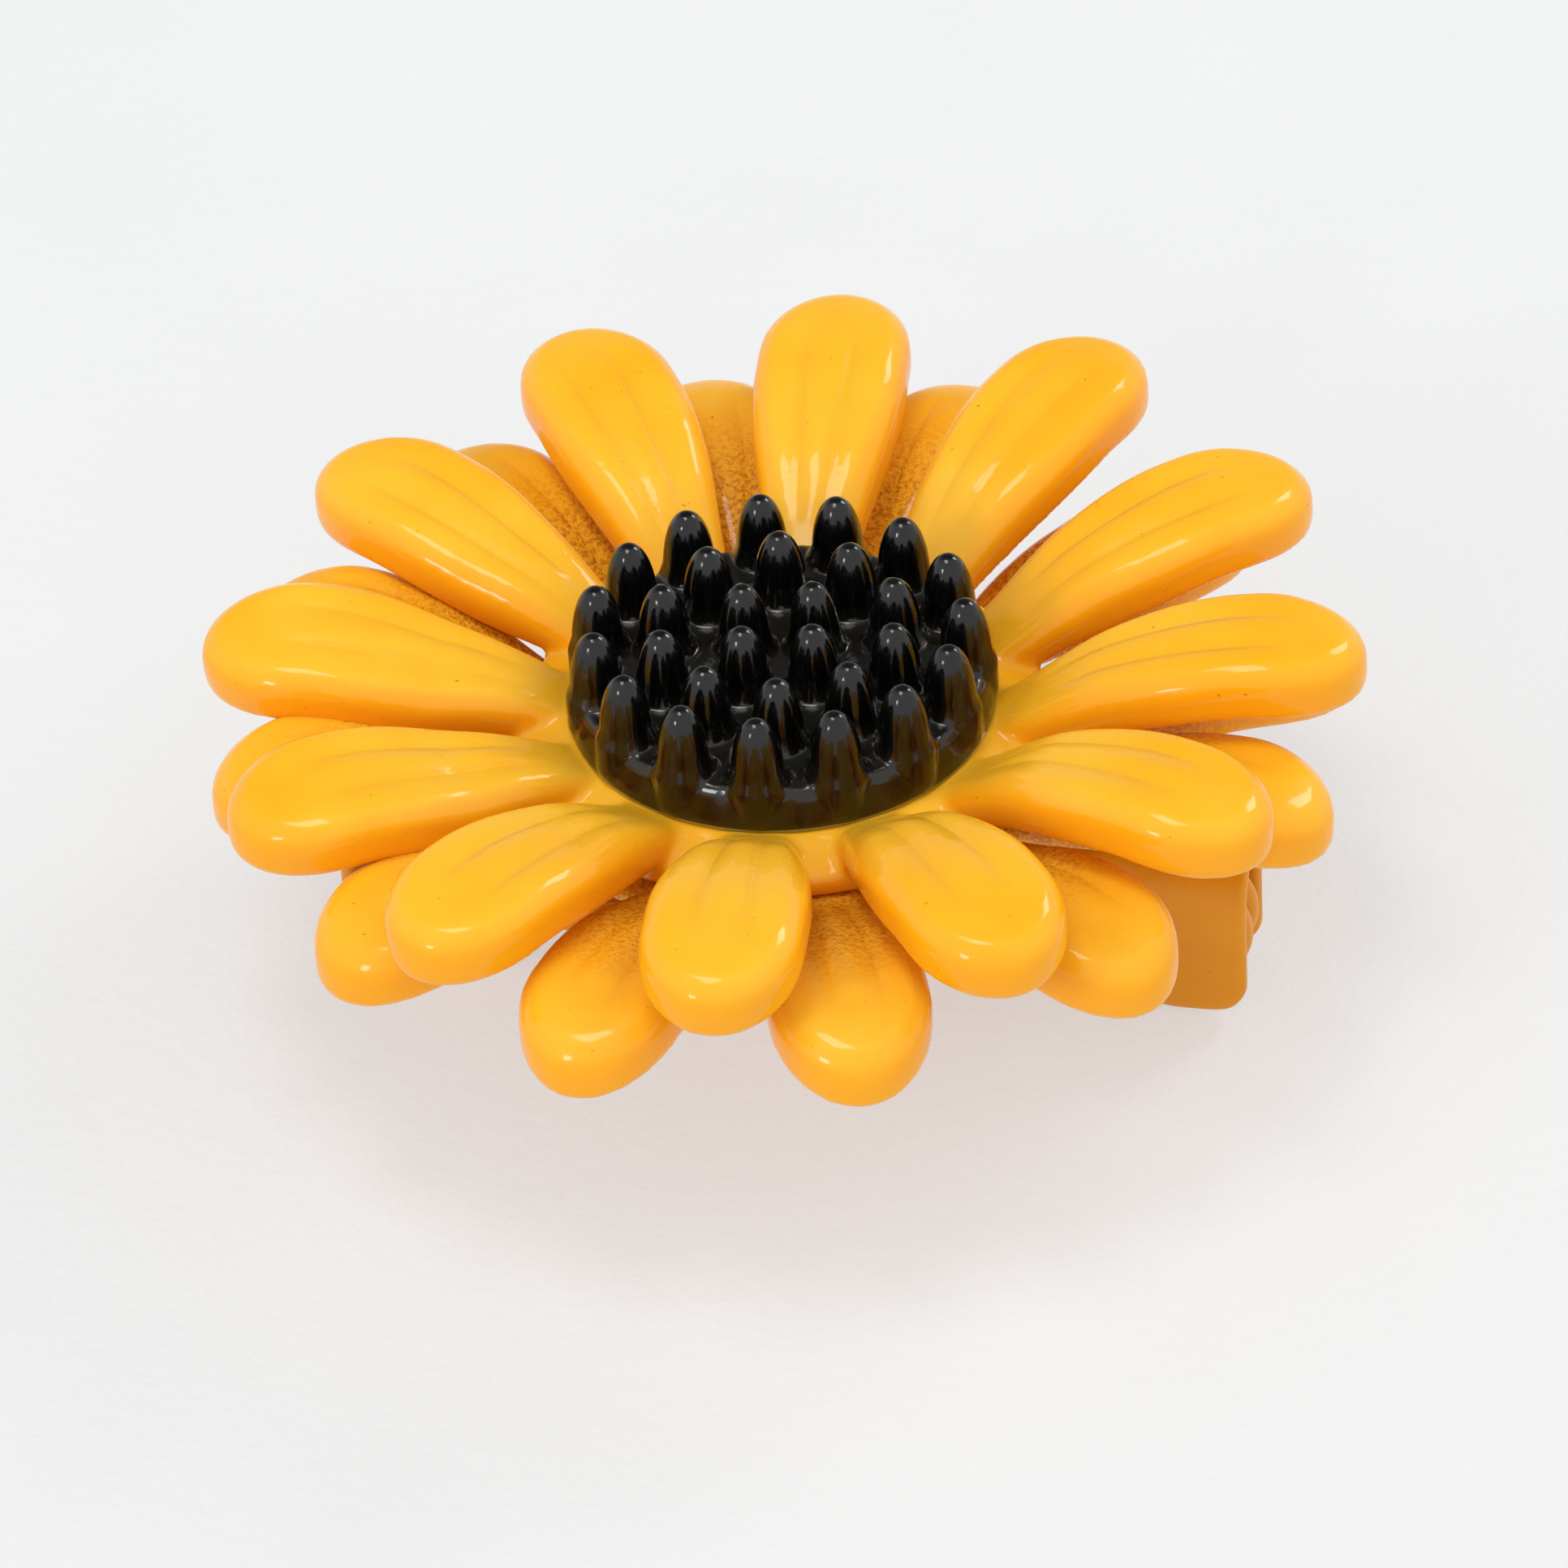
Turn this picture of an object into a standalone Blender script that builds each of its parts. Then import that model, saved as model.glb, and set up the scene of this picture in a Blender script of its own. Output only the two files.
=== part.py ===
"""A sunflower hair clip: two layers of cast petals on a folded-sheet snap clip.

Lengths are millimetres until a mesh is made. +Z is the way the flower faces. The origin is on the
flower's axis, at the flat underside of the clip plate. The clip runs along X: hinge at +X, catch
at -X. The arm is closed here, and it opens by turning about the hinge pin, away from the plate.
"""
from math import acos, atan2, cos, hypot, pi, radians, sin, sqrt

import bmesh
import bpy
from mathutils import Matrix, Vector

MM = 0.001
GAP = 0.1                    # clearance between pieces that touch
MERGE = 1e-7                 # metres, for welding coincident points

# Stack of flat layers, heights above the plate's underside
SHEET = 0.55                 # painted sheet of the clip body
PAD_HEIGHT = 0.3
DISC_THICKNESS = 0.7
LOWER_HUB = 1.3
UPPER_HUB = 1.45
PAD_BOTTOM = SHEET + GAP
DISC_BOTTOM = PAD_BOTTOM + PAD_HEIGHT
DISC_TOP = DISC_BOTTOM + DISC_THICKNESS
LOWER_BOTTOM = DISC_TOP + GAP
LOWER_TOP = LOWER_BOTTOM + LOWER_HUB
UPPER_BOTTOM = LOWER_TOP + GAP
UPPER_TOP = UPPER_BOTTOM + UPPER_HUB
CENTRE_BOTTOM = UPPER_TOP + GAP

# Flower
PETALS = 12
PETAL_HALF_WIDTH = 2.7
PETAL_ROOT_HALF = 1.4
PETAL_ROOT = 7.7             # radius where a petal leaves the hub
PETAL_WIDEST = 15.0          # radius where a petal is widest
PETAL_TIP = 3.5              # length of its elliptical tip
PETAL_DEPTH = 2.0            # thickness of a petal near its tip
UPPER_REACH = 20.0           # radius of each layer of petals
LOWER_REACH = 19.7
UPPER_RISE = 3.1             # height gained along a petal
LOWER_RISE = 1.55
UPPER_DROOP = 0.35           # height lost again at its tip
LOWER_DROOP = 0.7
UPPER_TURN = 94.0            # degrees, direction of one upper petal
LOWER_TURN = UPPER_TURN + 180.0 / PETALS
HUB_INNER = 4.2              # inner ring of hub points
POST_RADIUS = 1.2
POST_HEAD = 2.0
CENTRE_RADIUS = 7.35
CENTRE_DISC = 1.5            # height of the black disc's side wall
NUB_TIP = 4.0                # height of the nubs above the disc's underside
NUB_RADIUS = 0.87
NUB_HEIGHT = 2.4             # rounded part of a nub, above the disc's top
NUB_RINGS = ((15, 6.35, 106.0), (10, 4.15, 100.0), (4, 1.7, 55.0))    # count, radius, first angle

# Disc and rivets
DISC_RADIUS = 7.3
PAD_RADIUS = 2.0
RIVET_X = 5.0
RIVET_RADIUS = 0.7
RIVET_HEAD = 1.25
RIVET_HEAD_HEIGHT = 0.6
RIVET_SINK = 0.3             # depth of the hidden heads' recesses
DIMPLE = 0.06                # depth of the dimple round each rivet under the plate

# Clip body, along the middle of its sheet
PLATE_HALF = 2.5
PLATE_MID = SHEET / 2
HINGE_END = 16.2
EAR_START = 12.5             # where the ears reach their full depth
EAR_FADE = 9.4               # where the ears have run out into the plate's edge
EAR_HALF = 1.85              # half the distance between the ears' middles
EAR_BEND = 1.5
EAR_BOTTOM = -5.95
EAR_CORNER = 0.9             # height over which an ear's lower corners are rounded
HINGE_DROP = 0.5
DROP_START = 11.5
SLOPE_START = -9.0
SLOPE_END = -14.4
SLOPE_DROP = 1.35
LEG_X = -15.3
LEG_BEND = 0.9
LEG_BOTTOM = -6.1
FIN_FROM = -2.8
FIN_TO = -9.3
FIN_PEAK = -4.7
FIN_DEPTH = 3.2
EDGE_BEND = 0.45
LOBE_FROM = -14.7
LOBE_TO = -8.9
LOBE_TOP = -1.75
LOBE_ROOT = 0.45             # height over which a lobe joins the leg

# Hinge and arm
PIN_X = 14.0
PIN_Z = -3.35
PIN_RADIUS = 1.1
PIN_CHAMFER = 0.12
WIRE_RADIUS = 0.55
WIRE_Y = 0.72                # half the distance between the two strands
WRAP_RADIUS = PIN_RADIUS + GAP + WIRE_RADIUS
ARM_Z = PIN_Z - WRAP_RADIUS
ARM_END = -13.4
TAIL_END = (10.9, -1.0)
HEAD_FROM = -14.4
HEAD_TO = -11.3
HEAD_HALF = 1.75
HEAD_WALL = 0.3

YELLOW = (0.97, 0.50, 0.021)
BLACK = (0.006, 0.006, 0.005)


def clear_scene():
    for obj in list(bpy.data.objects):
        bpy.data.objects.remove(obj, do_unlink=True)


def material(name, colour, roughness, metallic):
    mat = bpy.data.materials.new(name)
    mat.use_nodes = True
    shader = mat.node_tree.nodes["Principled BSDF"]
    shader.inputs["Base Color"].default_value = (*colour, 1.0)
    shader.inputs["Roughness"].default_value = roughness
    shader.inputs["Metallic"].default_value = metallic
    return mat


def bm_from(points, faces):
    """A mesh from millimetre points, with coincident points welded and faces turned outward."""
    bm = bmesh.new()
    verts = [bm.verts.new(Vector(p) * MM) for p in points]
    for face in faces:
        bm.faces.new([verts[i] for i in face])
    bmesh.ops.remove_doubles(bm, verts=bm.verts, dist=MERGE)
    bmesh.ops.dissolve_degenerate(bm, edges=bm.edges, dist=MERGE)
    bmesh.ops.recalc_face_normals(bm, faces=bm.faces)
    return bm


def add_object(name, bm, mat, parent=None, origin=(0, 0, 0)):
    """Turn a world-placed mesh into an object whose origin is at the given millimetre point."""
    place = Vector(origin) * MM
    bmesh.ops.translate(bm, verts=bm.verts, vec=-place)
    mesh = bpy.data.meshes.new(name)
    bm.to_mesh(mesh)
    bm.free()
    mesh.shade_smooth()
    mesh.set_sharp_from_angle(angle=radians(40))
    obj = bpy.data.objects.new(name, mesh)
    bpy.context.scene.collection.objects.link(obj)
    obj.location = place
    if parent:
        obj.parent = parent
        obj.location = place - parent.location
    obj.data.materials.append(mat)
    return obj


def cutter(name, bm, hosts, operation="DIFFERENCE"):
    """A hidden guide that is cut from, or joined to, each host."""
    obj = add_object(name, bm, bpy.data.materials["guide"])
    obj.hide_render = True
    obj.display_type = "WIRE"
    for host in hosts:
        mod = host.modifiers.new(name, "BOOLEAN")
        mod.operation = operation
        mod.object = obj
        mod.solver = "EXACT"
    return obj


def turned(profile, segments, centre=(0, 0), axis="Z"):
    """A solid of revolution. The profile is (radius, height), from the bottom to the top."""
    points = []
    faces = []
    for radius, height in profile:
        for k in range(segments):
            a = 2 * pi * k / segments
            points.append((centre[0] + radius * cos(a), centre[1] + radius * sin(a), height))
    for row in range(len(profile) - 1):
        for k in range(segments):
            nxt = (k + 1) % segments
            low = row * segments
            high = low + segments
            faces.append((low + k, low + nxt, high + nxt, high + k))
    top = (len(profile) - 1) * segments
    faces.append(tuple(range(segments))[::-1])
    faces.append(tuple(range(top, top + segments)))
    bm = bm_from(points, faces)
    if axis == "Y":
        turn = Matrix.Rotation(radians(90), 4, "X")
        bmesh.ops.transform(bm, matrix=turn, verts=bm.verts)
    return bm


# ---- Petals ---------------------------------------------------------------------------------

def ease(t):
    t = min(max(t, 0.0), 1.0)
    return t * t * (3 - 2 * t)


def petal_outline(reach):
    """Half of a petal's outline: (outline radius, half width, spine radius) from root to tip."""
    cap = reach - PETAL_TIP
    rows = []
    for step in range(5):
        t = step / 4
        r = PETAL_ROOT + t * (PETAL_WIDEST - PETAL_ROOT)
        half = PETAL_ROOT_HALF + (PETAL_HALF_WIDTH - PETAL_ROOT_HALF) * sin(pi / 2 * t ** 1.15)
        rows.append((r, half, r))
    for angle in (0, 28, 52, 74, 90):
        a = radians(angle)
        rows.append((cap + PETAL_TIP * sin(a), PETAL_HALF_WIDTH * cos(a), cap))
    return rows


def petal_rise(r, reach, rise, droop):
    """Height of a petal's underside above its root: it climbs, flattens, then droops."""
    t = max((r - PETAL_ROOT) / (reach - PETAL_ROOT), 0.0)
    return rise * sin(min(t * 1.25, 1.0) * pi / 2) - droop * max(t - 0.6, 0) ** 2 / 0.16


def petal_rings():
    """Cross-section rings: (inset towards the spine, height as a share of the thickness)."""
    return ((0.86, 0.0), (1.0, 0.22), (1.0, 0.6), (0.74, 0.93))


def petal_casting(first_angle, bottom, hub, reach, rise, droop):
    """A hub ring with evenly spaced petals, as one closed mesh."""
    half = petal_outline(reach)
    outline = [(r, -w, s) for r, w, s in half] + [(r, w, s) for r, w, s in half[-2::-1]]
    points = []
    faces = []
    top_rim = []
    bottom_rim = []
    for k in range(PETALS):
        turn = radians(first_angle + 360.0 * k / PETALS)

        def place(r, y, z):
            return (r * cos(turn) - y * sin(turn), r * sin(turn) + y * cos(turn), z)

        rings = []
        for inset, share in petal_rings() + ((0.0, 1.0),):
            ring = []
            for r, y, spine in outline:
                along = spine + inset * (r - spine)
                depth = hub + (PETAL_DEPTH - hub) * ease((along - PETAL_ROOT) / 4)
                z = bottom + petal_rise(along, reach, rise, droop) + share * depth
                ring.append(len(points))
                points.append(place(along, inset * y, z))
            rings.append(ring)
        for low, high in zip(rings, rings[1:]):
            for i in range(len(outline) - 1):
                faces.append((low[i], low[i + 1], high[i + 1], high[i]))
        under = rings[0]
        last = len(outline) - 1
        middle = last // 2
        for i in range(middle - 1):
            faces.append((under[i], under[last - i], under[last - i - 1], under[i + 1]))
        faces.append((under[middle - 1], under[middle + 1], under[middle]))
        # Each root shows its rings from the left side, over the spine, to the right side.
        top_rim.append([rings[2][0], rings[3][0], rings[4][0], rings[3][last], rings[2][last]])
        bottom_rim.append([rings[0][0], rings[0][last]])
        for side in (0, last):
            faces.append((rings[0][side], rings[1][side], rings[2][side]))
    hub_faces(points, faces, top_rim, bottom_rim, bottom, bottom + hub)
    return bm_from(points, faces)


def hub_faces(points, faces, top_rim, bottom_rim, bottom, top):
    """Close the space inside the petal roots with a flat ring and the webs between petals."""
    count = len(top_rim)
    upper = [i for rim in top_rim for i in rim]
    lower = [i for rim in bottom_rim for i in rim]

    def ring(source, radius, height):
        start = len(points)
        for i in source:
            x, y, _ = points[i]
            scale = radius / hypot(x, y)
            points.append((x * scale, y * scale, height))
        return list(range(start, len(points)))

    def band(first, second):
        n = len(first)
        for i in range(n):
            j = (i + 1) % n
            faces.append((first[i], first[j], second[j], second[i]))

    bore = POST_RADIUS + GAP
    upper_flat = ring(upper, HUB_INNER, top)
    upper_hole = ring(upper[2::5], bore, top)
    lower_hole = ring(upper[2::5], bore, bottom)
    band(upper, upper_flat)
    for k in range(count):
        j = (k + 1) % count
        span = [upper_flat[5 * k + i] for i in (2, 3, 4)] + [upper_flat[5 * j + i] for i in (0, 1, 2)]
        faces.append((*span, upper_hole[j], upper_hole[k]))
    band(lower_hole, upper_hole)
    for k in range(count):
        j = (k + 1) % count
        right = bottom_rim[k][1]
        left = bottom_rim[j][0]
        faces.append((bottom_rim[k][0], right, lower_hole[k]))
        faces.append((right, left, lower_hole[j], lower_hole[k]))
        faces.append((right, left, top_rim[j][0], top_rim[k][4]))


def flower_centre():
    """The black disc with its rings of bullet-shaped nubs, and a blind hole for the rivet."""
    low = CENTRE_BOTTOM
    wall = [(CENTRE_RADIUS - 0.15, low), (CENTRE_RADIUS, low + 0.15),
            (CENTRE_RADIUS - 0.3, low + 0.8), (CENTRE_RADIUS - 0.9, low + CENTRE_DISC)]
    disc = add_object("flower_centre", turned(wall, 45), bpy.data.materials["black_enamel"])
    nubs = bmesh.new()
    for count, radius, first in NUB_RINGS:
        for k in range(count):
            a = radians(first + 360.0 * k / count)
            add_nub(nubs, radius * cos(a), radius * sin(a), a)
    cutter("nub_guide", nubs, [disc], "UNION")
    hole = turned([(POST_RADIUS + GAP, low - 1), (POST_RADIUS + GAP, low + 0.8)], 12)
    cutter("blind_hole_guide", hole, [disc])
    return disc


def add_nub(bm, x, y, turn):
    """A straight foot under half an ellipsoid, turned so that a flat side faces outward."""
    high = CENTRE_BOTTOM + NUB_TIP
    profile = [(1.0, CENTRE_BOTTOM + 0.4)]
    for angle in (0, 24, 46, 65, 80):
        a = radians(angle)
        profile.append((cos(a), high - NUB_HEIGHT * (1 - sin(a))))
    sides = 8
    rings = []
    for share, height in profile:
        ring = []
        for k in range(sides):
            a = turn + 2 * pi * k / sides
            at = (x + NUB_RADIUS * share * cos(a), y + NUB_RADIUS * share * sin(a), height)
            ring.append(bm.verts.new(Vector(at) * MM))
        rings.append(ring)
    for lower, upper in zip(rings, rings[1:]):
        for k in range(sides):
            j = (k + 1) % sides
            bm.faces.new((lower[k], lower[j], upper[j], upper[k]))
    bm.faces.new(rings[0][::-1])
    bm.faces.new(rings[-1])


# ---- Disc and rivets ------------------------------------------------------------------------

def back_disc():
    rim = 0.15
    profile = [(DISC_RADIUS - rim, DISC_BOTTOM), (DISC_RADIUS, DISC_BOTTOM + rim),
               (DISC_RADIUS, DISC_TOP - rim), (DISC_RADIUS - rim, DISC_TOP)]
    disc = add_object("back_disc", turned(profile, 48), bpy.data.materials["yellow_enamel"])
    for side, label in ((1, "hinge"), (-1, "catch")):
        x = side * RIVET_X
        pad = [(PAD_RADIUS - 0.2, PAD_BOTTOM), (PAD_RADIUS, PAD_BOTTOM + 0.2), (PAD_RADIUS, DISC_TOP - 0.2)]
        cutter(f"pad_guide_{label}", turned(pad, 20, (x, 0)), [disc], "UNION")
        bore = RIVET_RADIUS + GAP
        sink = RIVET_HEAD + GAP
        hole = [(bore, PAD_BOTTOM - 1), (bore, DISC_TOP - RIVET_SINK - GAP),
                (sink, DISC_TOP - RIVET_SINK - GAP), (sink, DISC_TOP + 1)]
        cutter(f"rivet_hole_guide_{label}", turned(hole, 12, (x, 0)), [disc])
    bore = POST_RADIUS + GAP
    sink = POST_HEAD + GAP
    hole = [(sink, DISC_BOTTOM - 1), (sink, DISC_BOTTOM + RIVET_SINK + GAP),
            (bore, DISC_BOTTOM + RIVET_SINK + GAP), (bore, DISC_TOP + 1)]
    cutter("post_hole_guide", turned(hole, 20), [disc])
    return disc


def flower_rivet():
    profile = [(POST_HEAD, DISC_BOTTOM), (POST_HEAD, DISC_BOTTOM + RIVET_SINK),
               (POST_RADIUS, DISC_BOTTOM + RIVET_SINK), (POST_RADIUS, CENTRE_BOTTOM + 0.7)]
    return add_object("flower_rivet", turned(profile, 12), bpy.data.materials["rivet_metal"])


def clip_rivet(name, x):
    """Domed head under the plate, shank through plate and pad, flat head sunk in the disc."""
    under = DIMPLE - GAP
    dome = []
    for step in range(1, 5):
        a = radians(90 * step / 4)
        dome.append((RIVET_HEAD * sin(a), under - RIVET_HEAD_HEIGHT * cos(a)))
    profile = dome + [(RIVET_RADIUS, under), (RIVET_RADIUS, DISC_TOP - RIVET_SINK),
                      (RIVET_HEAD, DISC_TOP - RIVET_SINK), (RIVET_HEAD, DISC_TOP)]
    return add_object(name, turned(profile, 16, (x, 0)), bpy.data.materials["yellow_enamel"])


# ---- Clip body ------------------------------------------------------------------------------

def plate_height(x):
    """Height of the sheet's middle: flat under the flower, and sloping down at both ends."""
    drop = HINGE_DROP * ease((x - DROP_START) / (HINGE_END - DROP_START))
    drop += SLOPE_DROP * ease((SLOPE_START - x) / (SLOPE_START - SLOPE_END) * 0.75) / ease(0.75)
    return PLATE_MID - drop


def plate_stations():
    """Places along the sheet's middle line: (x, z, slope angle), hinge end first."""
    xs = [HINGE_END, 15.4, 14.4, 13.4, EAR_START, 11.8, 11.0, 10.2, EAR_FADE, 7.8, 6.0, 4.0, 2.0, 0.0]
    xs += [-1.6, FIN_FROM, -2.95, -3.3, -3.9, FIN_PEAK, -5.3, -6.0, -6.8, -7.9, FIN_TO, -10.6, -12.0, -13.2]
    rows = [(x, plate_height(x)) for x in xs]
    last_z = plate_height(SLOPE_END)
    for angle in (0, 30, 60, 90):
        a = radians(angle)
        rows.append((LEG_X + LEG_BEND * (1 - sin(a)), last_z - LEG_BEND * (1 - cos(a))))
    top = rows[-1][1]
    for share in (0.4, 0.85, 0.92, 1.0):
        rows.append((LEG_X, top + share * (LEG_BOTTOM - top)))
    return rows


def ear_section(x, share):
    """Half of the folded section at a station, as offsets (y, z) from the plate's middle line."""
    fold = ease((x - EAR_FADE) / (EAR_START - EAR_FADE))
    flat = PLATE_HALF + (EAR_HALF - EAR_BEND - PLATE_HALF) * fold
    bend = max(EAR_BEND * fold, 1e-3)
    angle = pi / 2 * fold
    reach = ear_depth(x)
    arc = bend * angle
    walk = share * (arc + reach)
    if walk <= arc:
        a = walk / bend
        return flat + bend * sin(a), -bend * (1 - cos(a))
    rest = walk - arc
    return flat + bend * sin(angle) + rest * cos(angle), -bend * (1 - cos(angle)) - rest * sin(angle)


def ear_depth(x):
    """Length of the straight part of an ear below its bend, rounded at both lower corners."""
    full = plate_height(x) - EAR_BEND - EAR_BOTTOM
    middle = (EAR_START + HINGE_END) / 2
    half = (HINGE_END - EAR_START) / 2
    if x >= EAR_START:
        t = abs(x - middle) / half
        return full - EAR_CORNER * (1 - sqrt(max(1 - t ** 4, 0)))
    t = (x - EAR_FADE) / (EAR_START - EAR_FADE)
    return (full - EAR_CORNER) * max(t, 0) ** 3


def fin_depth(x):
    """Depth of a finger fin below the plate's edge: deepest near the hinge side."""
    if not FIN_TO < x < FIN_FROM:
        return 0.0
    if x > FIN_PEAK:
        t = (FIN_FROM - x) / (FIN_FROM - FIN_PEAK)
        return FIN_DEPTH * (1 - (1 - t) ** 2.4) ** 0.46
    t = (x - FIN_TO) / (FIN_PEAK - FIN_TO)
    return FIN_DEPTH * sin(pi / 2 * t) ** 1.15


def fin_roll(x):
    """How far the plate's edge has rolled over into a fin, from 0 to 1."""
    return min(fin_depth(x) / (EDGE_BEND * pi / 2), 1.0)


def edge_fold(walk):
    """Offset (outward, down) after walking round the bend at the plate's edge."""
    quarter = EDGE_BEND * pi / 2
    if walk < quarter:
        a = walk / EDGE_BEND
        return EDGE_BEND * sin(a), EDGE_BEND * (1 - cos(a))
    return EDGE_BEND, EDGE_BEND + walk - quarter


def clip_sheet():
    """The middle surface of the folded sheet."""
    stations = plate_stations()
    points = []
    faces = []
    shares = (-1.0, -0.55, 0.0, 0.55, 1.0)
    rows = []
    for x, z in stations:
        fold = ease((x - EAR_FADE) / (EAR_START - EAR_FADE))
        half = PLATE_HALF + (EAR_HALF - EAR_BEND - PLATE_HALF) * fold - EDGE_BEND * fin_roll(x)
        row = []
        for share in shares:
            row.append(len(points))
            points.append((x, share * half, z))
        rows.append(row)
    for near, far in zip(rows, rows[1:]):
        for i in range(len(shares) - 1):
            faces.append((near[i], far[i], far[i + 1], near[i + 1]))
    for side, column in ((-1, 0), (1, 4)):
        edge = [row[column] for row in rows]
        add_ear(points, faces, stations, edge, side)
        add_fin(points, faces, stations, edge, side)
        add_lobe(points, faces, stations, edge, side)
    return points, faces


def add_patch(points, faces, columns):
    """Quads between neighbouring columns of point numbers."""
    for first, second in zip(columns, columns[1:]):
        for i in range(len(first) - 1):
            faces.append((first[i], first[i + 1], second[i + 1], second[i]))


def add_ear(points, faces, stations, edge, side):
    steps = 8
    columns = []
    for (x, z), start in zip(stations, edge):
        if x < EAR_FADE - 1e-6:
            break
        column = [start]
        for step in range(1, steps + 1):
            y, dz = ear_section(x, step / steps)
            column.append(len(points))
            points.append((x, side * y, z + dz))
        columns.append(column)
    add_patch(points, faces, columns)


def add_fin(points, faces, stations, edge, side):
    steps = 5
    columns = []
    for (x, z), start in zip(stations, edge):
        if not FIN_TO - 1e-6 <= x <= FIN_FROM + 1e-6:
            continue
        column = [start]
        for step in range(1, steps + 1):
            out, down = edge_fold(fin_depth(x) * step / steps)
            column.append(len(points))
            edge_y = PLATE_HALF - EDGE_BEND * fin_roll(x)
            points.append((x, side * (edge_y + out), z - down))
        columns.append(column)
    add_patch(points, faces, columns)


def add_lobe(points, faces, stations, edge, side):
    """A rounded tongue that turns off the foot of the leg and stands beside the arm's head."""
    first = len(stations) - 3
    low = stations[-1][1]
    base = [stations[first + i][1] for i in range(3)]
    steps = (0.12, 0.24, 0.4, 0.55, 0.7, 0.85, 0.95, 1.0)
    columns = [edge[first:]]
    for t in steps:
        column = []
        x = LOBE_FROM + t * (LOBE_TO - LOBE_FROM)
        top = lobe_top(x)
        floor = low + 0.6 * max(t - 0.75, 0) / 0.25
        for i, start in enumerate(base):
            share = (start - low) / (base[0] - low)
            column.append(len(points))
            points.append((x, side * PLATE_HALF, floor + share * (top - floor)))
        columns.append(column)
    add_patch(points, faces, columns)


def lobe_top(x):
    """Upper outline of a lobe: a rounded hump, tallest towards the hinge."""
    t = (x - LOBE_FROM) / (LOBE_TO - LOBE_FROM)
    peak = 0.68
    if t < peak:
        rise = sin(pi / 2 * t / peak) ** 0.7
    else:
        rise = sqrt(max(1 - ((t - peak) / (1 - peak)) ** 2 * 0.75, 0))
    root = LEG_BOTTOM + LOBE_ROOT
    return root + (LOBE_TOP - root) * rise


def clip_body():
    points, faces = clip_sheet()
    bm = bm_from(points, faces)
    body = add_object("clip_body", bm, bpy.data.materials["yellow_enamel"])
    solid = body.modifiers.new("sheet", "SOLIDIFY")
    solid.thickness = SHEET * MM
    solid.offset = 0.0
    solid.use_even_offset = True
    for side, label in ((1, "hinge"), (-1, "catch")):
        bore = RIVET_RADIUS + GAP
        dimple = RIVET_HEAD + GAP
        hole = [(dimple, -1), (dimple, DIMPLE), (bore, DIMPLE), (bore, SHEET + 1)]
        cutter(f"plate_hole_guide_{label}", turned(hole, 12, (side * RIVET_X, 0)), [body])
    bore = PIN_RADIUS + GAP
    hole = turned([(bore, -4), (bore, 4)], 20, (PIN_X, PIN_Z), "Y")
    cutter("pin_hole_guide", hole, [body])
    return body


# ---- Hinge and arm --------------------------------------------------------------------------

def hinge_pin():
    """A plain pin whose ends finish flush with the outside of the ears."""
    end = EAR_HALF + SHEET / 2
    profile = [(PIN_RADIUS - PIN_CHAMFER, -end), (PIN_RADIUS, -end + PIN_CHAMFER),
               (PIN_RADIUS, end - PIN_CHAMFER), (PIN_RADIUS - PIN_CHAMFER, end)]
    bm = turned(profile, 20, (PIN_X, PIN_Z), "Y")
    return add_object("hinge_pin", bm, bpy.data.materials["yellow_enamel"], None, (PIN_X, 0, PIN_Z))


def wire_path():
    """Centre line of the hairpin: tail, wrap, strand, turn at the free end, and back."""
    side = []
    tail_x, tail_z = TAIL_END
    dx = tail_x - PIN_X
    dz = tail_z - PIN_Z
    # The tail leaves the wrap on a tangent.
    start = atan2(dz, dx) - acos(WRAP_RADIUS / hypot(dx, dz))
    side.append((tail_x, WIRE_Y, tail_z))
    turns = 14
    for k in range(turns + 1):
        a = start + (-pi / 2 - start) * k / turns
        side.append((PIN_X + WRAP_RADIUS * cos(a), WIRE_Y, PIN_Z + WRAP_RADIUS * sin(a)))
    for share in (0.33, 0.66, 1.0):
        side.append((PIN_X + share * (ARM_END - PIN_X), WIRE_Y, ARM_Z))
    bend = []
    for k in range(1, 6):
        a = pi * k / 6
        bend.append((ARM_END - WIRE_Y * sin(a), WIRE_Y * cos(a), ARM_Z))
    back = [(x, -y, z) for x, y, z in reversed(side)]
    return [Vector(p) for p in side + bend + back]


def arm_wire(parent):
    path = wire_path()
    sides = 8
    points = []
    faces = []
    for i, at in enumerate(path):
        before = path[max(i - 1, 0)]
        after = path[min(i + 1, len(path) - 1)]
        along = (after - before).normalized()
        # The strands lie in upright planes and the turn lies flat, so one rule frames both.
        across = Vector((-along.y, along.x, 0))
        if across.length < 0.5 or abs(along.z) > 1e-6:
            across = Vector((0, -1, 0)) * (1 if at.y > 0 else -1)
        across.normalize()
        up = along.cross(across)
        for k in range(sides):
            a = 2 * pi * (k + 0.5) / sides
            points.append(at + (across * cos(a) + up * sin(a)) * WIRE_RADIUS)
    for i in range(len(path) - 1):
        for k in range(sides):
            j = (k + 1) % sides
            low = i * sides
            high = low + sides
            faces.append((low + k, low + j, high + j, high + k))
    last = (len(path) - 1) * sides
    faces.append(tuple(range(sides)))
    faces.append(tuple(range(last, last + sides)))
    bm = bm_from(points, faces)
    return add_object("arm_wire", bm, bpy.data.materials["yellow_enamel"], parent, (PIN_X, 0, PIN_Z))


def block(low, high):
    """An axis-aligned box between two millimetre corners."""
    low = Vector(low) * MM
    high = Vector(high) * MM
    bm = bmesh.new()
    bmesh.ops.create_cube(bm, size=1.0)
    bmesh.ops.scale(bm, vec=high - low, verts=bm.verts)
    bmesh.ops.translate(bm, vec=(low + high) / 2, verts=bm.verts)
    return bm


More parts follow.
